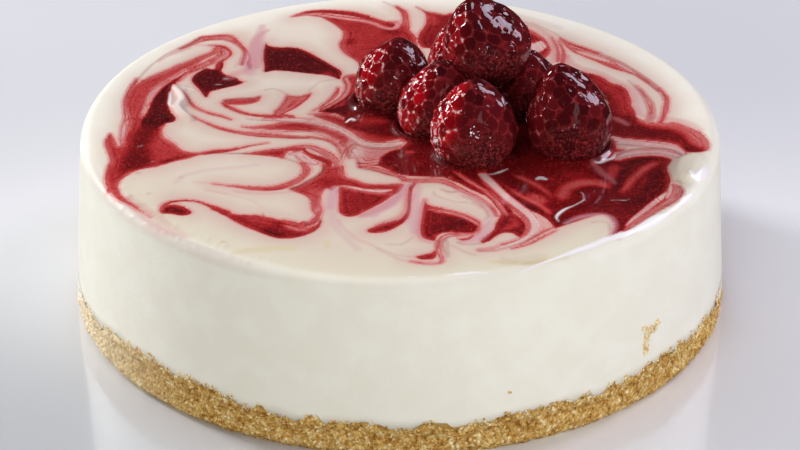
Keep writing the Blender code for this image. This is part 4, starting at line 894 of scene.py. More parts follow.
bpy.ops.mesh.normals_make_consistent(inside=False)
bpy.ops.object.mode_set(mode="OBJECT")
place = points_of(cream) / MM
angle = np.arctan2(place[:, 1], place[:, 0])
far = np.hypot(place[:, 0], place[:, 1])
on_rim = (place[:, 2] > SHOULDER - 0.01) & (far > INNER - 0.01)
on_side = (place[:, 2] < SHOULDER - 0.01) & (far > side_radius(FOOT_OF_CREAM) * 0.94)
on_top = ~on_rim & ~on_side & (place[:, 2] > SHOULDER)
place[on_rim, 2] += (rim_sag(angle) * (place[:, 2] - SHOULDER) / RIM_ROUND)[on_rim]
place[on_top, 2] += (rim_sag(angle) * ease(0.9 * INNER, INNER, far))[on_top]
down = (SHOULDER - place[on_side, 2]) / (SHOULDER - FOOT_OF_CREAM)
turn = angle[on_side]
lowered = SHOULDER + (crumb_line(turn) + GAP - SHOULDER) * down
reach = side_radius(lowered) + (TOP_RADIUS - side_radius(SHOULDER)) * (1 - down)
reach += 0.10 * waves(round_the_side(turn, lowered * 1.6), 34, 5)
place[on_side] = np.column_stack([reach * np.cos(turn), reach * np.sin(turn), lowered])
print("cream:", len(place), "points,", triangles(cream), "triangles")

# %% [markdown]
# ## The berries' places
# The berries lean on one another in a heap right of the middle. Their places are needed already here,
# because the sauce gathers round the feet of those that stand on the cream.

# %% The berries' places
# Foot (x, y, z above the cream), radius and height in mm, lean in degrees towards +X and +Y, taper, turn.
# The turn also seeds what is random in the berry.
BERRIES = {
    "raspberry_front": ((17.9, -15.4, 0.0), 10.9, 20.2, (2, 0), 0.75, 20),
    "raspberry_right": ((42.9, -11.6, 0.0), 10.6, 22.8, (-11, 3), 0.95, 75),
    "raspberry_middle": ((6.4, -1.4, 0.0), 9.1, 18.6, (24, 2), 0.2, 140),
    "raspberry_left": ((-4.6, 12.6, 0.0), 9.1, 18.8, (24, 0), 0.3, 200),
    "raspberry_behind_right": ((33.2, 7.2, 0.0), 9.0, 17.2, (-8, 4), 0.75, 260),
    "raspberry_behind_left": ((16.4, 21.6, 0.0), 9.2, 18.6, (-2, 8), 0.5, 310),
    "raspberry_top": ((23.6, 4.8, 13.8), 11.0, 19.0, (-20, 4), 0.45, 50),
}
WIDEST_AT = 0.32       # share of the height at which a berry is widest
FOOT_DROP = 0.24       # share of the height that would reach below its foot, and is pressed flat


def berry_radius(share, taper):
    """Radius of a berry at a share of its height, for a berry of radius 1."""
    share = np.asarray(share, float)
    up = np.clip((share - WIDEST_AT) / (1 - WIDEST_AT), 0, 1)
    down = np.clip((WIDEST_AT - share) / (WIDEST_AT + FOOT_DROP), 0, 1)
    high = np.clip(1 - up ** (1.9 - 0.5 * taper), 0, 1) ** (0.56 + 0.2 * taper)
    return np.where(share > WIDEST_AT, high, np.sqrt(np.clip(1 - down**2.2, 0, 1)))


feet = [(x, y, radius * float(berry_radius(0.0, taper)))
        for (x, y, z), radius, _, _, taper, _ in BERRIES.values() if z == 0]
print("feet of the berries:", [tuple(round(v, 1) for v in foot) for foot in feet])

# %% [markdown]
# ## Painting the marbling
# For each point of the top, the strokes are laid one over another. `depth` says how far the point lies
# inside the sauce, in millimetres, and is negative in plain cream. The material cuts it at zero, so the
# edge stays crisp between the points of the grid.

# %% Painting
NO_SAUCE = -9.0            # mm, depth of plain cream far from any stroke
SOFT = 0.38                # mm, half the width of a soft edge between two tones
AROUND = 1.6               # mm, how far outside a stroke the points are still worked out
AT_ONCE = 1_500_000        # pairs of a point and a piece of line in one sum, for the memory's sake
painted = on_top | on_rim
where = place[painted, :2]
depth = np.full(len(where), NO_SAUCE)
tone = np.full(len(where), 0.6)
stains = {name: np.zeros(len(where)) for name in ("rose", "mauve", "brown", "dark", "straw", "gleam")}
for kind, value, text in SWIRL:
    points = numbers(text)
    widest = points[:, 2].max() if kind != "pool" else 0.0
    curve = smooth_line(points, closed=kind == "pool")
    if kind == "tint":
        run = np.concatenate([[0], np.cumsum(np.linalg.norm(np.diff(curve[:, :2], axis=0), axis=1))])
        full = ease(0, min(4.0, run[-1] / 3), np.minimum(run, run[-1] - run))
        curve[:, 2] = curve[:, 2] * full - 0.8 * (1 - full)
    low = curve[:, :2].min(0) - widest - AROUND
    high = curve[:, :2].max(0) + widest + AROUND
    near = np.flatnonzero(((where > low) & (where < high)).all(1))
    for some in np.array_split(near, max(1, len(near) * len(curve) // AT_ONCE)):
        if not len(some):
            continue
        deep = (depth_in_pool if kind == "pool" else depth_in_line)(where[some], curve)
        if kind == "vein":
            name, strength = value
            blur = 0.42 if name == "gleam" else 0.45 if points[:, 2].max() < 0.6 else 0.8
            stains[name][some] = np.maximum(stains[name][some], strength * ease(-blur, blur, deep))
            continue
        cover = ease(-SOFT, SOFT, deep)
        if kind != "tint" and value > 0:
            spread = np.where(depth[some] > 0, cover, np.maximum(cover, ease(-1.4, -0.6, deep)))
            depth[some] = np.maximum(depth[some], deep)
            tone[some] += (value - tone[some]) * spread
        elif kind == "tint":
            soft = 2.2 * SOFT + 0.3 * widest
            cover = ease(-soft, soft, deep)
            tone[some] += (value - tone[some]) * cover
        else:
            depth[some] = np.minimum(depth[some], -deep)
# Dark sauce gathers round the berries' feet, painted darker still as shade under the berries
for x, y, radius in feet:
    skirt = 1.7 - (np.hypot(where[:, 0] - x, where[:, 1] - y) - radius)
    tone += (0.98 - tone) * ease(-0.6, 0.8, skirt)
    depth = np.maximum(depth, np.where(skirt > -2, skirt, NO_SAUCE))
print(f"sauce covers {100 * (depth > 0).mean():.0f}% of the top")

# %% [markdown]
# ## How far the cream is from the sauce
# Streaks run along the edge of the sauce, and the cream beside it is stained. `depth` jumps where two
# strokes meet, so `shore` holds a smooth distance from the edge, on both of its sides.

# %% How far the cream is from the sauce
STROKE_EDGE = 0.7          # mm, so near to the edge the strokes' own depth is used
HALF_CELL = 0.25           # mm, the edge lies about so far before the nearest point on its other side


def distance_to(points, others):
    tree = KDTree(len(others))
    for i, point in enumerate(others):
        tree.insert((*point, 0.0), i)
    tree.balance()
    return np.array([tree.find((*point, 0.0))[2] for point in points])


bare = depth < 0
shore = depth.copy()
from_sauce = np.maximum(0.0, distance_to(where[bare], where[~bare]) - HALF_CELL)
shore[bare] = np.where(depth[bare] > -STROKE_EDGE, depth[bare], -np.maximum(STROKE_EDGE, from_sauce))
inner = depth > STROKE_EDGE
shore[inner] = np.maximum(STROKE_EDGE, distance_to(where[inner], where[bare]) - HALF_CELL)
print("shore runs from", round(shore.min(), 1), "to", round(shore.max(), 1), "mm")

# %% [markdown]
# ## The relief of the top
# The sauce lies a little lower than the cream, and the glaze climbs the feet of the berries. A lump of
# cream at the right, the thick drop and a crest at the left stand out, and so do some bubbles.

# %% The relief of the top
LUMP = ("70 -16.5, 68 -18, 67 -19.3, 66.3 -21.5, 65.6 -24, 65.4 -26.5, 66 -29, 67.5 -30.5, 70 -31, 73 -29,"
        "75.5 -24, 75 -18, 72.5 -15.5")
CREST = "-58.1 22 0.5, -56.1 18 0.8, -54.9 13.9 1, -56.2 10 0.8, -54.7 6 0.8, -52.5 3.2 0.5"
BUBBLES = ("-59 3.5 .9, -60.3 4.6 .6, -57.7 3.9 .5, -16 28 .7, -23 -51.3 .8, -12.5 -47.3 .6, -11.2 -46.9 .5,"
           "-9 -45.5 .5, 14.4 -50.5 .9, -1.8 -22.8 .9, 12.8 -28.2 1, -28 -57.2 .6, -37 -51.2 .6")
from_axis = np.hypot(*where.T)
relief = 0.10 * waves(where, 26, 3) * ease(INNER + 3, INNER - 6, from_axis) - 0.22 * ease(-0.35, 0.45, depth)


def swell(centre, within, rise, low, high, text, closed=True):
    """Raises the top inside an outline, or along a line that isn't closed. All lengths are in mm."""
    close = np.hypot(where[:, 0] - centre[0], where[:, 1] - centre[1]) < within
    depth_in = depth_in_pool if closed else depth_in_line
    relief[close] += rise * ease(low, high, depth_in(where[close], smooth_line(numbers(text), closed)))


# The glaze climbs the berries' feet, and at the front left the rim's edge is torn
for x, y, radius in feet:
    off = np.hypot(where[:, 0] - x, where[:, 1] - y) - radius
    relief += 1.1 * np.exp(-(off**2))
bearing = np.degrees(np.arctan2(where[:, 1], where[:, 0]))
torn_edge = ease(INNER - 5, INNER - 1, from_axis) * ease(-166, -150, bearing) * ease(-106, -120, bearing)
relief += 0.42 * np.maximum(0, waves(where, 4.6, 71, 2)) * torn_edge
swell((70, -23), 14, 1.2, -0.3, 2.4, LUMP)
relief += 0.16 * stains["gleam"]
swell((-7, 2), 12, 0.7, 0.0, 3.0, THICK_DROP)
swell((-58, 14), 16, 0.8, -0.9, 0.6, CREST, closed=False)
for x, y, radius in numbers(BUBBLES):
    off = np.hypot(where[:, 0] - x, where[:, 1] - y) / (radius * 1.15)
    relief += 0.55 * radius * np.sqrt(np.clip(1 - off**2, 0, 1))
print("the relief runs from", round(relief.min(), 2), "to", round(relief.max(), 2), "mm")

# %% [markdown]
# ## Storing the marbling
# The relief moves the points of the top, and fades out over the rounded rim. What was painted is stored
# for the material, with a few broad shares: where the rim is wet or dry, where painted shade dims the rim
# at the front left, how far in a point lies, and where painted shade darkens the front of the top.

# %% Storing the marbling
FAR_FROM_SAUCE = -30.0     # mm, stored for the side and the bottom
flat_part = np.zeros(len(place))
flat_part[painted] = relief * np.where(on_top[painted], 1.0, 0.6 * ease(SHOULDER, HEIGHT, place[painted, 2]))
place[:, 2] += flat_part
move_points(cream, place * MM)
for name, values in (("depth", depth), ("shore", shore), ("tone", tone), *stains.items()):
    full = np.full(len(place), FAR_FROM_SAUCE if name in ("depth", "shore") else 0.0)
    full[painted] = values
    put_value(cream, name, full)
degrees_round = np.degrees(np.arctan2(place[:, 1], place[:, 0]))
from_axis = np.hypot(place[:, 0], place[:, 1])
rim_wet = ease(-82, -70, degrees_round) * ease(-26, -34, degrees_round) * ease(74, 77, from_axis)
put_value(cream, "rim_wet", rim_wet * ease(SHOULDER - 1, SHOULDER + 1, place[:, 2]))
put_value(cream, "rim_dry", ease(INNER - 1.5, INNER + 0.5, from_axis) * ease(-90, -110, degrees_round))
put_value(cream, "inside", ease(80, 64, from_axis))
# Painted shade: the rounded rim is darker at the front left.
rim_dim = ease(INNER, INNER + 1.2, from_axis) * ease(SHOULDER - 0.4, SHOULDER + 1.5, place[:, 2])
put_value(cream, "rim_dim", rim_dim * ease(-174, -158, degrees_round) * ease(-104, -128, degrees_round))
# Painted shade: the front of the top is darker.
put_value(cream, "toward", ease(14, -46, place[:, 1]) * ease(INNER + 2.2, INNER - 1.5, from_axis))
bpy.ops.object.shade_smooth()
print("the top lies between", round(place[on_top, 2].min(), 2), "and", round(place[on_top, 2].max(), 2), "mm")

# %% [markdown]
# ## The finish of cream and sauce
# Set cream is dense and silky, with a faint grain. The sauce is a thin wet film: red where it is thick,
# pink where it is stirred into the cream, and glossy nearly all over. One material holds both, and
# `depth` chooses.

# %% Cream and sauce
def cream_finish():
    made = Finish("marbled_cream", coat_roughness=0.08, coat_ior=1.45, ior=1.45, specular_ior_level=0.15)
    fine = made.noise(0.8, 3.0)
    soft = made.noise(8.0, 2.0)
    torn = made.noise(6.0, 1.0).ease(0.50, 0.66)
    broken = made.noise(4.0, 2.0).ease(0.42, 0.58)
    shore = made.value("shore")
    along = shore * 1.9 + made.noise(9.0, 1.0) * 2.4
    streak = made.node("ShaderNodeTexNoise", {"noise_dimensions": "1D"}, W=along, Scale=1.0, Detail=2.0,
                       Roughness=0.5)
    depth = made.value("depth") + (fine - 0.5) * (0.34 + torn * 1.2)
    sauce = depth.ease(-0.24, 0.24)
    tone = made.value("tone")
    deep = tone.ease(0.35, 0.7)
    edge = 1 - shore.ease(1.6, 4.0)
    tone = tone - (1 - shore.ease(0.0, 1.3)) * deep * 0.22
    streaky = (streak.ease(0.38, 0.62) - 0.5) * edge * (0.10 + broken * 0.22) * (1 - deep * 0.55)
    tone = tone + streaky + (fine - 0.5) * 0.22 + (soft - 0.5) * 0.20
    near = shore.ease(-7.0, 0.3) * made.value("inside")
    cream = made.mix(soft.ease(0.35, 0.7), rgb(236, 232, 219), rgb(239, 236, 225))
    # Painted shade darkens the front of the top and the rim at the front left.
    for name, share, shade in (("toward", 0.95, rgb(219, 212, 189)), ("inside", 0.70, rgb(212, 195, 180)),
                               ("rim_dim", 0.75, rgb(209, 197, 189))):
        cream = made.mix(made.value(name) * share, cream, shade)
    cream = made.mix(near * 0.90, cream, rgb(208, 180, 167))
    cream = made.mix(made.value("straw") * 0.80, cream, rgb(210, 194, 148))
    close = shore.ease(-1.8, -0.4) * broken
    cream = made.mix(close * streak.ease(0.48, 0.62) * 0.55, cream, rgb(206, 132, 124))
    cream = made.mix(depth.ease(-1.1, 0.0) * 0.62, cream, rgb(214, 130, 128))
    red = made.ramp(tone.clamped(), (0.0, rgb(228, 202, 194)), (0.15, rgb(219, 172, 168)),
                    (0.3, rgb(208, 136, 134)), (0.45, rgb(202, 96, 94)), (0.62, rgb(186, 56, 57)),
                    (0.75, rgb(158, 30, 33)), (0.87, rgb(114, 13, 17)), (1.0, rgb(72, 6, 10)))
    speck = made.noise(0.5, 2.0, 0.6)
    thick = tone.ease(0.25, 0.65)
    red = made.mix(speck.ease(0.56, 0.68) * (0.10 + thick * 0.34), red, rgb(196, 66, 64))
    red = made.mix(speck.ease(0.47, 0.36) * (0.06 + thick * 0.36), red, rgb(78, 8, 12))
    colour = made.mix(sauce, cream, red)
    for name, share, stain in (("rose", 0.66, rgb(204, 114, 118)), ("mauve", 0.72, rgb(201, 150, 160)),
                               ("brown", 0.62, rgb(156, 88, 72)), ("dark", 0.72, rgb(116, 24, 26))):
        colour = made.mix(made.value(name) * share, colour, stain)
    # Painted highlight: a gleam is white where a drop or a wet ridge would mirror the light.
    gleam = made.value("gleam")
    colour = made.mix(gleam.ease(0.1, 0.95), colour, rgb(250, 245, 249))
    wet = sauce * (1 - made.value("rim_dry") * 0.9) + made.value("rose") * 0.5
    wet = (wet + gleam + made.value("rim_wet") * 0.45).clamped()
    grainy = fine * (1.3 - made.value("inside") * 0.8) + soft * 0.4 + speck * wet * 0.6
    return made.set(
        Base_Color=colour,
        Roughness=0.42 - wet * 0.14,
        Coat_Weight=0.02 + wet * 0.93,
        Normal=made.bump(grainy, 0.06, 0.7),
    )


dress(cream, cream_finish(), ["cream_filling"])

# %% [markdown]
# ## The biscuit base
# Crushed biscuit pressed with butter: a rough band of grains about a millimetre across, golden, with pale
# and darker ones among them. The band is extruded in rings, and each point is pushed out by the grain
# nearest to it.

# %% The base's shape
BASE_COLUMNS = 2300        # points round the base
BASE_ROWS = 34             # rings up its side


def crumb_top(angle):
    """The torn top edge of the crumbs: clumps of them reach a little way up the cream."""
    around = round_the_side(angle)
    clumps = waves(around, 6.5, 21, 3) * 1.7 + waves(around, 1.7, 22, 2) * 0.9
    return crumb_line(angle) + np.clip(0.9 + clumps, 0.25, 3.0)


def bleached(angle):
    """1 where light is painted on the crumbs: round the left side they are paler, washed out by the lamps."""
    from_front = degrees_from_front(angle)
    return ease(-34, -76, from_front) * ease(-172, -120, from_front)


def creamed(angle, height):
    """1 where cream has run down over the crumbs, on the far left and the far right."""
    from_front = np.abs(degrees_from_front(angle))
    clean = 2.8 + 4.4 * ease(88, 74, from_front) + 4.6 * ease(94, 112, from_front)
    run = waves(round_the_side(angle, height), 5, 41, 3)
    return ease(-0.5, 1.2, height - clean - 0.9 * run) * ease(70, 79, from_front) * ease(112, 100, from_front)


start_alone()
bpy.ops.mesh.primitive_circle_add(vertices=BASE_COLUMNS, radius=(FOOT_RADIUS - 0.7) * MM, fill_type="NGON")
base = bpy.context.object
base.name = "crumb_base"
bpy.ops.object.mode_set(mode="EDIT")
bpy.ops.mesh.select_all(action="SELECT")
for _ in range(BASE_ROWS):
    bpy.ops.mesh.extrude_region_move(TRANSFORM_OT_translate={"value": (0, 0, CRUMB_HEIGHT / BASE_ROWS * MM)})
bpy.ops.mesh.select_all(action="DESELECT")
bpy.ops.mesh.select_non_manifold()
bpy.ops.mesh.edge_face_add()
bpy.ops.mesh.select_all(action="SELECT")
bpy.ops.mesh.normals_make_consistent(inside=False)
bpy.ops.object.mode_set(mode="OBJECT")
place = points_of(base) / MM
angle = np.arctan2(place[:, 1], place[:, 0])
up = place[:, 2] / CRUMB_HEIGHT
height = crumb_top(angle) * up
print("the torn edge reaches", round(float(height.max()), 1), "mm")

# %% [markdown]
# ## The grains
# The grains are spots strewn over the side of the base. A point of the skin is pushed out by the nearest
# spot, and where two spots are equally near there is a crack between their grains. A KD tree finds them
# quickly.

# %% The grains
GRAINS = 26000
GRAIN_RADIUS = 82          # mm, how far from the axis the spots lie
GRAIN_HEIGHTS = (-0.6, 12.5)       # mm above the foot
GRAIN_REACH = 0.6          # mm, a grain ends so far from its spot
grain_angle = RANDOM.uniform(-math.pi, math.pi, GRAINS)
grain_up = RANDOM.uniform(*GRAIN_HEIGHTS, GRAINS)
grain_size = RANDOM.uniform(0.35, 1.0, GRAINS) ** 1.6
grain_tone = np.clip(RANDOM.normal(0.5, 0.22, GRAINS), 0, 1)
tree = KDTree(GRAINS)
for i in range(GRAINS):
    turn = grain_angle[i]
    tree.insert((GRAIN_RADIUS * math.cos(turn), GRAIN_RADIUS * math.sin(turn), grain_up[i]), i)
tree.balance()
bulge = np.zeros(len(place))
grain = np.zeros(len(place))
crack = np.zeros(len(place))
for k in range(len(place)):
    spot = (GRAIN_RADIUS * math.cos(angle[k]), GRAIN_RADIUS * math.sin(angle[k]), height[k])
    (_, i, first), (_, _, second) = tree.find_n(spot, 2)
    bulge[k] = grain_size[i] * max(0.0, 1 - (first / GRAIN_REACH) ** 2)
    crack[k] = second - first
    grain[k] = grain_tone[i]
reach = side_radius(height) - 0.55 + 0.50 * bulge + 0.22 * ease(0.0, 0.3, crack)
reach += 0.30 * waves(round_the_side(angle, height), 7, 12)
reach += 0.62 * ease(-1.2, 0.0, height - crumb_line(angle))
reach -= 1.7 * np.exp(-((height / 1.1) ** 2))
smear = creamed(angle, height)
flush = side_radius(height) + 0.04 * waves(round_the_side(angle, height), 3, 18) - 0.08
reach += smear * (flush - reach)
place = np.column_stack([reach * np.cos(angle), reach * np.sin(angle), height])
move_points(base, place * MM)
put_value(base, "grain", grain)
put_value(base, "crack", crack)
put_value(base, "smear", smear)
put_value(base, "bleached", bleached(angle))
bpy.ops.object.shade_smooth()
print("cream covers the crumbs on", round(100 * float((smear > 0.5).mean())), "percent of the base")

# %% [markdown]
# ## The base's finish
# Each grain has its own tone of gold, and a fine noise breaks it up. Cracks are painted darker, as shade
# between the grains, the left side is painted paler, as light that washes it out, and where cream has
# run down over the crumbs the finish turns to its colour.

# %% The base's finish
def crumb_finish():
    made = Finish("biscuit_crumb", roughness=0.82, ior=1.4)
    clump = made.noise(2.4, 3.0, 0.6)
    grain = made.value("grain") + (made.noise(0.30, 3.0) - 0.5) * 0.55 + (clump - 0.5) * 1.5
    colour = made.ramp(grain.clamped(), (0.0, rgb(142, 94, 40)), (0.3, rgb(192, 144, 72)),
                       (0.6, rgb(218, 180, 106)), (0.85, rgb(236, 208, 148)), (1.0, rgb(247, 234, 196)))
    # Painted shade: the cracks between the grains are darker.
    colour = made.mix((1 - made.value("crack").ease(0.01, 0.16)) * 0.45, colour, rgb(126, 82, 32))
    # Painted light: the left side is paler, as if washed out by the lamps. The patch's loose crumbs are also
    # paler in themselves.
    colour = made.mix(made.value("bleached") * 0.72, colour, rgb(250, 236, 208))
    colour = made.mix(made.value("smear") * 0.92, colour, rgb(238, 233, 222))
    return made.set(Base_Color=colour, Normal=made.bump(made.noise(0.22, 3.0), 0.12, 0.8))


crumb_material = crumb_finish()
dress(base, crumb_material, ["biscuit_base"])

# %% [markdown]
# ## Loose crumbs
# Where the biscuit meets the cream it frays: single crumbs cling to the side, and a small patch of them
# sits higher up at the front right. One crumb is modelled, then copied to many places into a single mesh.

# %% Loose crumbs
FRAYED = 2100              # crumbs along the torn edge
PATCH_CRUMBS = 40          # crumbs round each spot of the patch
# Spots of the patch: degrees from the front, height in mm, and how widely the crumbs scatter
PATCH = ("46.1 13.8 .6, 46.3 15.2 .7, 46.4 16.6 .8, 46.6 18 .9, 46.9 19.2 1.0, 47.9 19.3 .8, 49 19 .6,"
         "49.5 20 .5, 45.9 20.6 .5")
SPECK = (18.3, 15.3)       # degrees from the front and height in mm of a few crumbs by themselves
CREAM_OVER = (80, 112)     # degrees from the front, between which cream covers the crumbs on both sides
start_alone()
bpy.ops.mesh.primitive_ico_sphere_add(subdivisions=1, radius=1.0)
crumb = bpy.context.object
crumb.name = "crumbs_loose"
corners = points_of(crumb)
corners /= np.linalg.norm(corners, axis=1)[:, None]
faces = np.array([list(face.vertices) for face in crumb.data.polygons])
spots = []
for from_front in RANDOM.uniform(-180, 180, FRAYED):
    thick = waves(np.array([[from_front, 0.0]]), 40, 31, 3)[0]
    spots.append((from_front, abs(RANDOM.normal(0.0, 0.45 + 0.5 * max(0, thick))) - 0.15, 0.0))
for from_front, up, spread in numbers(PATCH):
    for _ in range(PATCH_CRUMBS):
        across = from_front + RANDOM.normal(0, spread * 0.40)
        spots.append((across, up + RANDOM.normal(0, spread * 0.55), 1.0))
for _ in range(4):
    spots.append((SPECK[0] + RANDOM.normal(0, 0.2), SPECK[1] + RANDOM.normal(0, 0.2), 1.0))
spots = [spot for spot in spots if not CREAM_OVER[0] < abs(spot[0]) < CREAM_OVER[1]]
shapes, tones = [], []
for from_front, up, high in spots:
    turn = math.radians(from_front - 90)
    height = up if high else float(crumb_top(np.array([turn]))[0]) + up
    size = RANDOM.uniform(0.12, 0.36) * (0.9 if high else 1.0)
    shape = corners * (1 + RANDOM.uniform(-0.3, 0.3, (len(corners), 1))) * size * RANDOM.uniform(0.7, 1.2, 3)
    reach = side_radius(height) + (0.02 if high else 0.12)
    shapes.append(shape + [reach * math.cos(turn), reach * math.sin(turn), height])
    tones.append(RANDOM.uniform(0.65 if high else 0.35, 1.0))
count = len(corners)
loose = bpy.data.meshes.new("crumbs_loose")
all_faces = np.vstack([faces + i * count for i in range(len(shapes))])
loose.from_pydata(np.vstack(shapes) * MM, [], all_faces.tolist())
crumb.data = loose
put_value(crumb, "grain", np.repeat(tones, count))
put_value(crumb, "crack", np.ones(count * len(shapes)))
place = points_of(crumb) / MM
angle = np.arctan2(place[:, 1], place[:, 0])
put_value(crumb, "smear", creamed(angle, place[:, 2]))
# Painted light round the left side, and the patch's crumbs paler in themselves
put_value(crumb, "bleached", bleached(angle) + np.repeat([0.2 * high for _, _, high in spots], count))
bpy.ops.object.shade_smooth()
dress(crumb, crumb_material, [])
print(len(shapes), "loose crumbs")

# %% [markdown]
# ## The raspberries
# A raspberry is a blunt cone of small round drupelets. Here a thick clear glaze covers them, so the skin
# is nearly smooth: the drupelets show as dark red cells, and the valleys between them as thin pale lines.
# A sphere of small triangles is wrapped on to the cone, so that its triangles stay about equal in size.

# %% Wrapping a sphere on a berry
GOLDEN_ANGLE = math.pi * (3.0 - math.sqrt(5.0))
DRUPELETS = 140
BERRY_DETAIL = 7     # subdivisions of the sphere
GLEAM_SIDE = np.array([0.49, -0.34, 0.80])   # the glaze on this side mirrors the back lamp to the camera
# Where the skin towards that side is flattened, as a share of its reach
FLATTENED = {"raspberry_top": 0.72, "raspberry_left": 0.80, "raspberry_front": 0.90, "raspberry_right": 0.88}
TIP_ROUND = 4.2      # mm, the tip of a berry is round
BEADS = 110          # small drops in the glaze of each berry
BERRY_GAP = 0.15     # mm, left between two berries that touch
LOWEST_OF_TOP = 11.0     # mm above the cream, how low the berry on the heap may come


def berry_profile(radius, height, taper):
    """Shares of the height, radii, and the share of the skin's area that lies below each of them."""
    share = -FOOT_DROP + (1 + FOOT_DROP) * (0.5 - 0.5 * np.cos(np.linspace(0, math.pi, 400)))
    reach = radius * berry_radius(share, taper)
    up = share * height
    for centre in np.linspace(height, 0.3 * height, 300):
        gap = np.hypot(reach, up - centre)
        if gap.min() >= TIP_ROUND:
            break
    touch = int(gap.argmin())
    if up[touch] > centre:
        rounded = np.linspace(up[touch], centre + TIP_ROUND, len(up) - touch)
        share[touch:] = rounded / height
        reach[touch:] = np.sqrt(np.maximum(0.0, TIP_ROUND**2 - (rounded - centre) ** 2))
    step = np.hypot(np.diff(reach), np.diff(share) * height)
    area = np.concatenate([[0], np.cumsum(step * (reach[1:] + reach[:-1]))])
    return share, reach, area / area[-1]


def wrapped(directions, radius, height, taper):
    """Points of the berry's skin for points of a unit sphere, so that equal areas stay equal."""
    share, reach, area = berry_profile(radius, height, taper)
    below = (directions[:, 2] + 1) / 2
    turn = np.arctan2(directions[:, 1], directions[:, 0])
    at = np.interp(below, area, share)
    wide = np.interp(below, area, reach)
    return np.column_stack([wide * np.cos(turn), wide * np.sin(turn), at * height])


def outward(points, radius, height, taper):
    """The way out of a smooth berry at points of its skin."""
    share, reach, _ = berry_profile(radius, height, taper)
    slope = np.gradient(reach, share * height)
    at = np.interp(points[:, 2] / height, share, np.clip(slope, -30, 30))
    turn = np.arctan2(points[:, 1], points[:, 0])
    way = np.column_stack([np.cos(turn), np.sin(turn), -at])
    return way / np.linalg.norm(way, axis=1)[:, None]


def place_of(foot, lean):
    """The tilt of a berry, as a matrix, and the place of its foot."""
    x, y, z = foot
    tilt = Matrix.Rotation(math.radians(-lean[1]), 3, "X")
    tilt = Matrix.Rotation(math.radians(lean[0]), 3, "Y") @ tilt
    return np.array(tilt), np.array([x, y, HEIGHT + GAP + z])


def keep_off(points, other):
    """Presses points that lie inside another berry out to its skin."""
    foot, radius, height, lean, taper, _ = BERRIES[other]
    tilt, at = place_of(foot, lean)
    centre = np.array([0, 0, 0.45 * height])
    inside = (points - at) @ tilt - centre
    length = np.linalg.norm(inside, axis=1)
    share, reach, _ = berry_profile(radius, height, taper)
    bearing = np.arctan2(share * height - centre[2], reach)
    skin = np.hypot(share * height - centre[2], reach)
    steepness = np.arctan2(inside[:, 2], np.hypot(inside[:, 0], inside[:, 1]))
    limit = np.interp(steepness, bearing, skin) + BERRY_GAP
    push = np.maximum(1.0, limit / np.maximum(length, 1e-6))
    return (inside * push[:, None] + centre) @ tilt.T + at


# Which berries each one is pressed against
PRESSED = {
    "raspberry_middle": ["raspberry_front"],
    "raspberry_left": ["raspberry_middle"],
    "raspberry_behind_right": ["raspberry_right"],
    "raspberry_top": ["raspberry_middle", "raspberry_front", "raspberry_behind_right",
                      "raspberry_behind_left"],
}

# %% [markdown]
# ## Growing the berries
# Drupelets are spread over the sphere and pushed apart. Each point of the skin then looks for its three
# nearest ones: two that are equally near make a valley, three make a corner. Waves and small drops go
# into the glaze, the berry leans, and it is pressed against its neighbours.

# %% Growing the berries
BRIGHT_SIDE = np.array([-0.93, -0.22, 0.30])     # the red is painted brighter on this side, as light through the glaze
# How strongly the painted glow, light through the red, shows on that side of each berry
GLOW = {"raspberry_front": 0.85, "raspberry_right": 0.3, "raspberry_middle": 1.25, "raspberry_left": 0.8,
        "raspberry_behind_right": 0.3, "raspberry_behind_left": 1.3, "raspberry_top": 0.5}
VELVET_SIDE = np.array([0.15, -0.93, -0.35])     # on this side the skin is dull and fuzzy


def settled_drupelets(sphere, turn):
    """Drupelets spread over a unit sphere and pushed apart until each has its own round cell."""
    spread = np.arange(DRUPELETS)
    up = -1 + 2 * (spread + 0.5) / DRUPELETS
    round_about = GOLDEN_ANGLE * spread + math.radians(turn)
    flat = np.sqrt(1 - up**2)
    seeds = np.column_stack([flat * np.cos(round_about), flat * np.sin(round_about), up])
    seeds += np.random.default_rng(turn).normal(0, 0.10, seeds.shape)
    some = sphere[::7]
    for _ in range(4):
        nearest = (some @ seeds.T).argmax(1)
        cells = [some[nearest == i] for i in range(DRUPELETS)]
        seeds = np.array([cell.mean(0) if len(cell) else seed for cell, seed in zip(cells, seeds)])
        seeds /= np.linalg.norm(seeds, axis=1)[:, None]
    return seeds


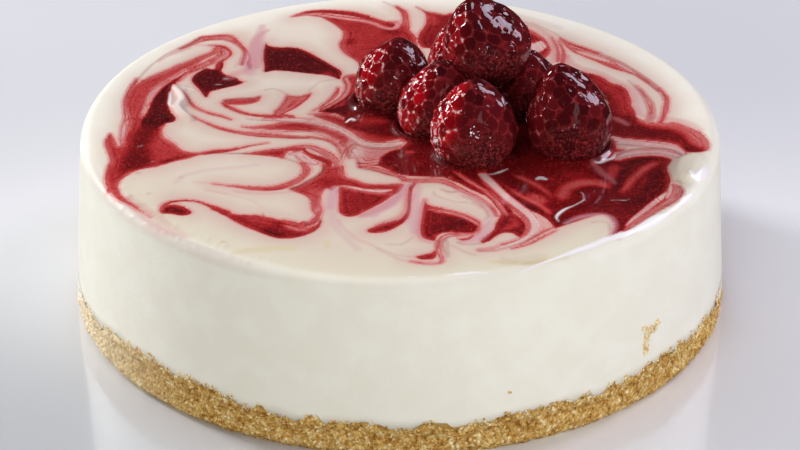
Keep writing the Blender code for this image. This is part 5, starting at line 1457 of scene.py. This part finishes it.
def grow_berry(name):
    """A berry's skin with its glaze, and what its finish reads: valleys, corners, the side painted as lit,
    and dull parts.
    """
    foot, radius, height, lean, taper, turn = BERRIES[name]
    start_alone()
    bpy.ops.mesh.primitive_ico_sphere_add(subdivisions=BERRY_DETAIL, radius=1.0)
    berry = bpy.context.object
    berry.name = name + "_glazed"
    sphere = points_of(berry)
    sphere /= np.linalg.norm(sphere, axis=1)[:, None]
    skin = wrapped(sphere, radius, height, taper)
    way = outward(skin, radius, height, taper)
    centres = wrapped(settled_drupelets(sphere, turn), radius, height, taper)
    wavy = skin + 0.45 * np.column_stack([waves(skin, 2.8, turn + k, 3) for k in (11, 12, 13)])
    apart = np.linalg.norm(wavy[:, None, :] - centres[None], axis=2)
    order = np.argpartition(apart, 3, axis=1)[:, :3]
    three = np.take_along_axis(apart, order, 1)
    near = np.sort(three, axis=1)
    own = np.take_along_axis(order, three.argmin(1)[:, None], 1)[:, 0]
    valley = near[:, 1] - near[:, 0]
    corner = near[:, 2] - near[:, 0]
    border = np.median(near[valley < 0.15, 0])
    tilt, at = place_of(foot, lean)
    facing = (way @ tilt.T) @ (BRIGHT_SIDE / np.linalg.norm(BRIGHT_SIDE))
    lit = ease(0.40, 0.95, facing)
    front = (way @ tilt.T) @ VELVET_SIDE
    dome = 1 - (1 - np.clip(valley / 2.0, 0, 1)) ** 2
    groove = np.exp(-((valley / 0.34) ** 2)) + 0.8 * np.exp(-((corner / 0.6) ** 2))
    press = (0.02 + 0.13 * lit) * (1 - dome) + (0.01 + 0.12 * lit) * groove
    lumps = 0.30 * waves(skin, 8.0, turn + 3, 2)
    beads = np.random.default_rng(turn + 5)
    for bead in beads.choice(len(skin), BEADS):
        wide = beads.uniform(0.35, 0.75)
        off = np.minimum(np.linalg.norm(skin - skin[bead], axis=1) / wide, 1)
        lumps = lumps + 0.34 * wide * (1 - off**2) ** 1.5
    skin = skin @ tilt.T + at
    rough = 1.6 * waves(skin, 5.0, turn + 9, 3)
    above = skin[:, 2] - HEIGHT - foot[2]
    velvet = ease(0.35, 0.95, front + 0.12 * rough) * ease(14.0, 5.5, above + 1.5 * rough)
    lumps = lumps + 0.20 * velvet * waves(skin, 1.3, turn + 15, 2)
    if name in FLATTENED:
        side = GLEAM_SIDE / np.linalg.norm(GLEAM_SIDE)
        reach = (skin - at) @ side
        limit = reach.max() * FLATTENED[name]
        skin -= side * (0.62 * np.maximum(0, reach - limit))[:, None]
    skin = skin + (way * (lumps - press)[:, None]) @ tilt.T
    for other in PRESSED.get(name, []):
        skin = keep_off(skin, other)
    lowest = 0.0 if foot[2] == 0 else LOWEST_OF_TOP
    skin[:, 2] = np.maximum(skin[:, 2], HEIGHT + GAP + lowest)
    move_points(berry, skin * MM)
    put_value(berry, "valley", valley)
    put_value(berry, "corner", corner)
    put_value(berry, "web", ease(0.74 * border, 1.12 * border, near[:, 0]))
    put_value(berry, "lit", lit * GLOW[name])
    put_value(berry, "cell", np.random.default_rng(turn + 1).uniform(0, 1, DRUPELETS)[own])
    put_value(berry, "velvet", velvet)
    bpy.ops.object.shade_smooth()
    return berry


# %% [markdown]
# ## The berries' finish
# Each drupelet has its own red, painted deep in the shade and bright where light would fall through the
# glaze. The net of valleys is a little paler, and painted paler still on the lit side, with painted white
# glints where valleys meet. Low on the front the skin is dull and fuzzy, and a clear coat lies over it all.

# %% The berries' finish
def berry_finish():
    made = Finish("glazed_raspberry", coat_weight=1.0, coat_roughness=0.03, coat_ior=1.4, ior=1.35,
                  specular_ior_level=0.0)
    cell = made.value("cell")
    lit = made.value("lit")
    velvet = made.value("velvet")
    valley = made.value("valley")
    web = made.value("web")
    fuzz = made.noise(0.75, 4.0, 0.7)
    patchy = made.noise(3.0, 2.0).ease(0.34, 0.62)
    # Painted light and shade: the red is deep on the shaded side and bright on the lit side.
    deep = made.mix(cell, rgb(62, 9, 14), rgb(108, 24, 29))
    bright = made.mix(cell, rgb(116, 5, 12), rgb(188, 12, 25))
    colour = made.mix(lit.ease(0.15, 0.80), deep, bright)
    colour = made.mix((1 - web) * 0.35, colour, rgb(44, 2, 6))
    colour = made.mix(web * (0.22 + lit * 0.30) * (0.4 + patchy * 0.6), colour, rgb(160, 40, 44))
    colour = made.mix(velvet * (1 - fuzz.ease(0.36, 0.52)) * 0.75, colour, rgb(36, 8, 12))
    colour = made.mix(velvet * (0.04 + fuzz.ease(0.50, 0.62) * 0.75), colour, rgb(132, 52, 52))
    # The valleys are paler in themselves, and painted paler still on the lit side as light.
    line = (1 - valley.ease(0.0, 0.24)) * (0.20 + lit.ease(0.05, 0.8) * 0.55)
    line = line * (1 - velvet * 0.8) * (0.22 + patchy * 0.78)
    colour = made.mix(line.clamped(), colour, rgb(212, 104, 108))
    # Painted highlight: white glints where the valleys meet, on the lit side.
    node = (1 - made.value("corner").ease(0.15, 0.85)) * lit.ease(0.15, 0.6) * patchy
    colour = made.mix(node.clamped(), colour, rgb(246, 212, 212))
    return made.set(
        Base_Color=colour,
        Roughness=0.34 + velvet * 0.25,
        Normal=made.bump(fuzz * (0.12 + velvet * 0.28), 0.15, 0.5),
    )


berry_material = berry_finish()
for name in BERRIES:
    dress(grow_berry(name), berry_material, [name])

# %% [markdown]
# ## The table
# The cake stands on a pale table with a soft gloss. Shade is painted on it: it is a little darker at the
# front left and towards the back. The table shows in no gloss itself, so the berries mirror the lamps only.

# %% Table
start_alone()
bpy.ops.mesh.primitive_plane_add(size=6.0, location=(0, 0, 0))
table = bpy.context.object
table.name = "table"


def table_finish():
    made = Finish("table_top", roughness=0.16, ior=1.45, coat_weight=1.0, coat_roughness=0.08)
    across = made.node("ShaderNodeSeparateXYZ", None, made.place())
    along = made.node("ShaderNodeSeparateXYZ", None, made.place(), output=1)
    # Painted shade: darker at the front left and towards the back.
    painted_shade_front_left = along.ease(0.034, -0.082) * across.ease(0.05, -0.05)
    colour = made.mix(along.ease(0.0, 0.13), rgb(236, 237, 241), rgb(223, 224, 229))
    colour = made.mix(painted_shade_front_left, colour, rgb(199, 201, 207))
    return made.set(Base_Color=colour, Roughness=0.15 + made.noise(60.0, 1.0) * 0.06)


print("the table is", round(table.dimensions.x, 1), "m wide")
table.data.materials.append(table_finish())
table.visible_glossy = False

# %% [markdown]
# ## Lights
# A soft light at the back on the left and a weaker one at the back on the right are what the glaze
# mirrors. Five wide ones fill the shade and show in no gloss. Two small ones light the berries only, for
# the glints in their glaze, and the room adds a faint even light.

# %% Lights
AIM = (0.0, 0.0, 0.045)    # metres, the middle of the cake just under its top


def soft_light(name, place, size, power, colour, mirrored=True):
    """A flat lamp that faces the cake. One that isn't mirrored lights the cake but shows in no gloss."""
    bpy.ops.object.light_add(type="AREA", location=place)
    lamp = bpy.context.object
    lamp.name = name
    lamp.data.shape = "RECTANGLE"
    lamp.data.size, lamp.data.size_y = size
    lamp.data.energy = power
    lamp.data.color = colour
    lamp.rotation_euler = (Vector(AIM) - Vector(place)).to_track_quat("-Z", "Y").to_euler()
    lamp.visible_glossy = mirrored
    print(f"{name}: {power} W")


soft_light("light_left_back", (-0.93, 0.62, 0.53), (0.24, 0.32), 11.6, (0.97, 0.985, 1.0))
soft_light("light_back_right", (0.66, 0.46, 0.66), (0.28, 0.46), 3.3, (0.88, 0.79, 1.0))
soft_light("light_left", (-0.96, 0.80, 0.22), (0.9, 0.34), 5.4, (0.86, 0.93, 1.0), mirrored=False)
soft_light("light_top", (-0.40, 0.45, 1.0), (0.8, 0.7), 3.4, (1.0, 0.995, 0.985), mirrored=False)
soft_light("light_high_front", (0.1, -0.80, 1.15), (0.9, 0.6), 3.2, (1.0, 0.99, 0.97), mirrored=False)
soft_light("light_right_front", (1.26, -0.36, 0.36), (1.0, 0.5), 11.0, (0.96, 0.97, 1.0), mirrored=False)
soft_light("light_front", (-0.66, -1.46, 0.54), (1.1, 0.5), 12.8, (1.0, 0.985, 0.915), mirrored=False)
soft_light("light_glints", (0.10, -0.85, 0.30), (0.035, 0.035), 0.32, (1.0, 0.99, 0.97))
soft_light("light_window", (0.28, -0.72, 0.62), (0.24, 0.30), 0.28, (1.0, 0.86, 0.93))
glazed = bpy.data.collections.new("glazed")
for name in BERRIES:
    glazed.objects.link(bpy.data.objects[name + "_glazed"])
for name in ("light_glints", "light_window"):
    bpy.data.objects[name].light_linking.receiver_collection = glazed
world = bpy.data.worlds.new("room")
world.use_nodes = True
world.node_tree.nodes["Background"].inputs["Color"].default_value = rgb(225, 226, 236)
world.node_tree.nodes["Background"].inputs["Strength"].default_value = 0.04
bpy.context.scene.world = world
bpy.context.scene.view_settings.view_transform = "Standard"
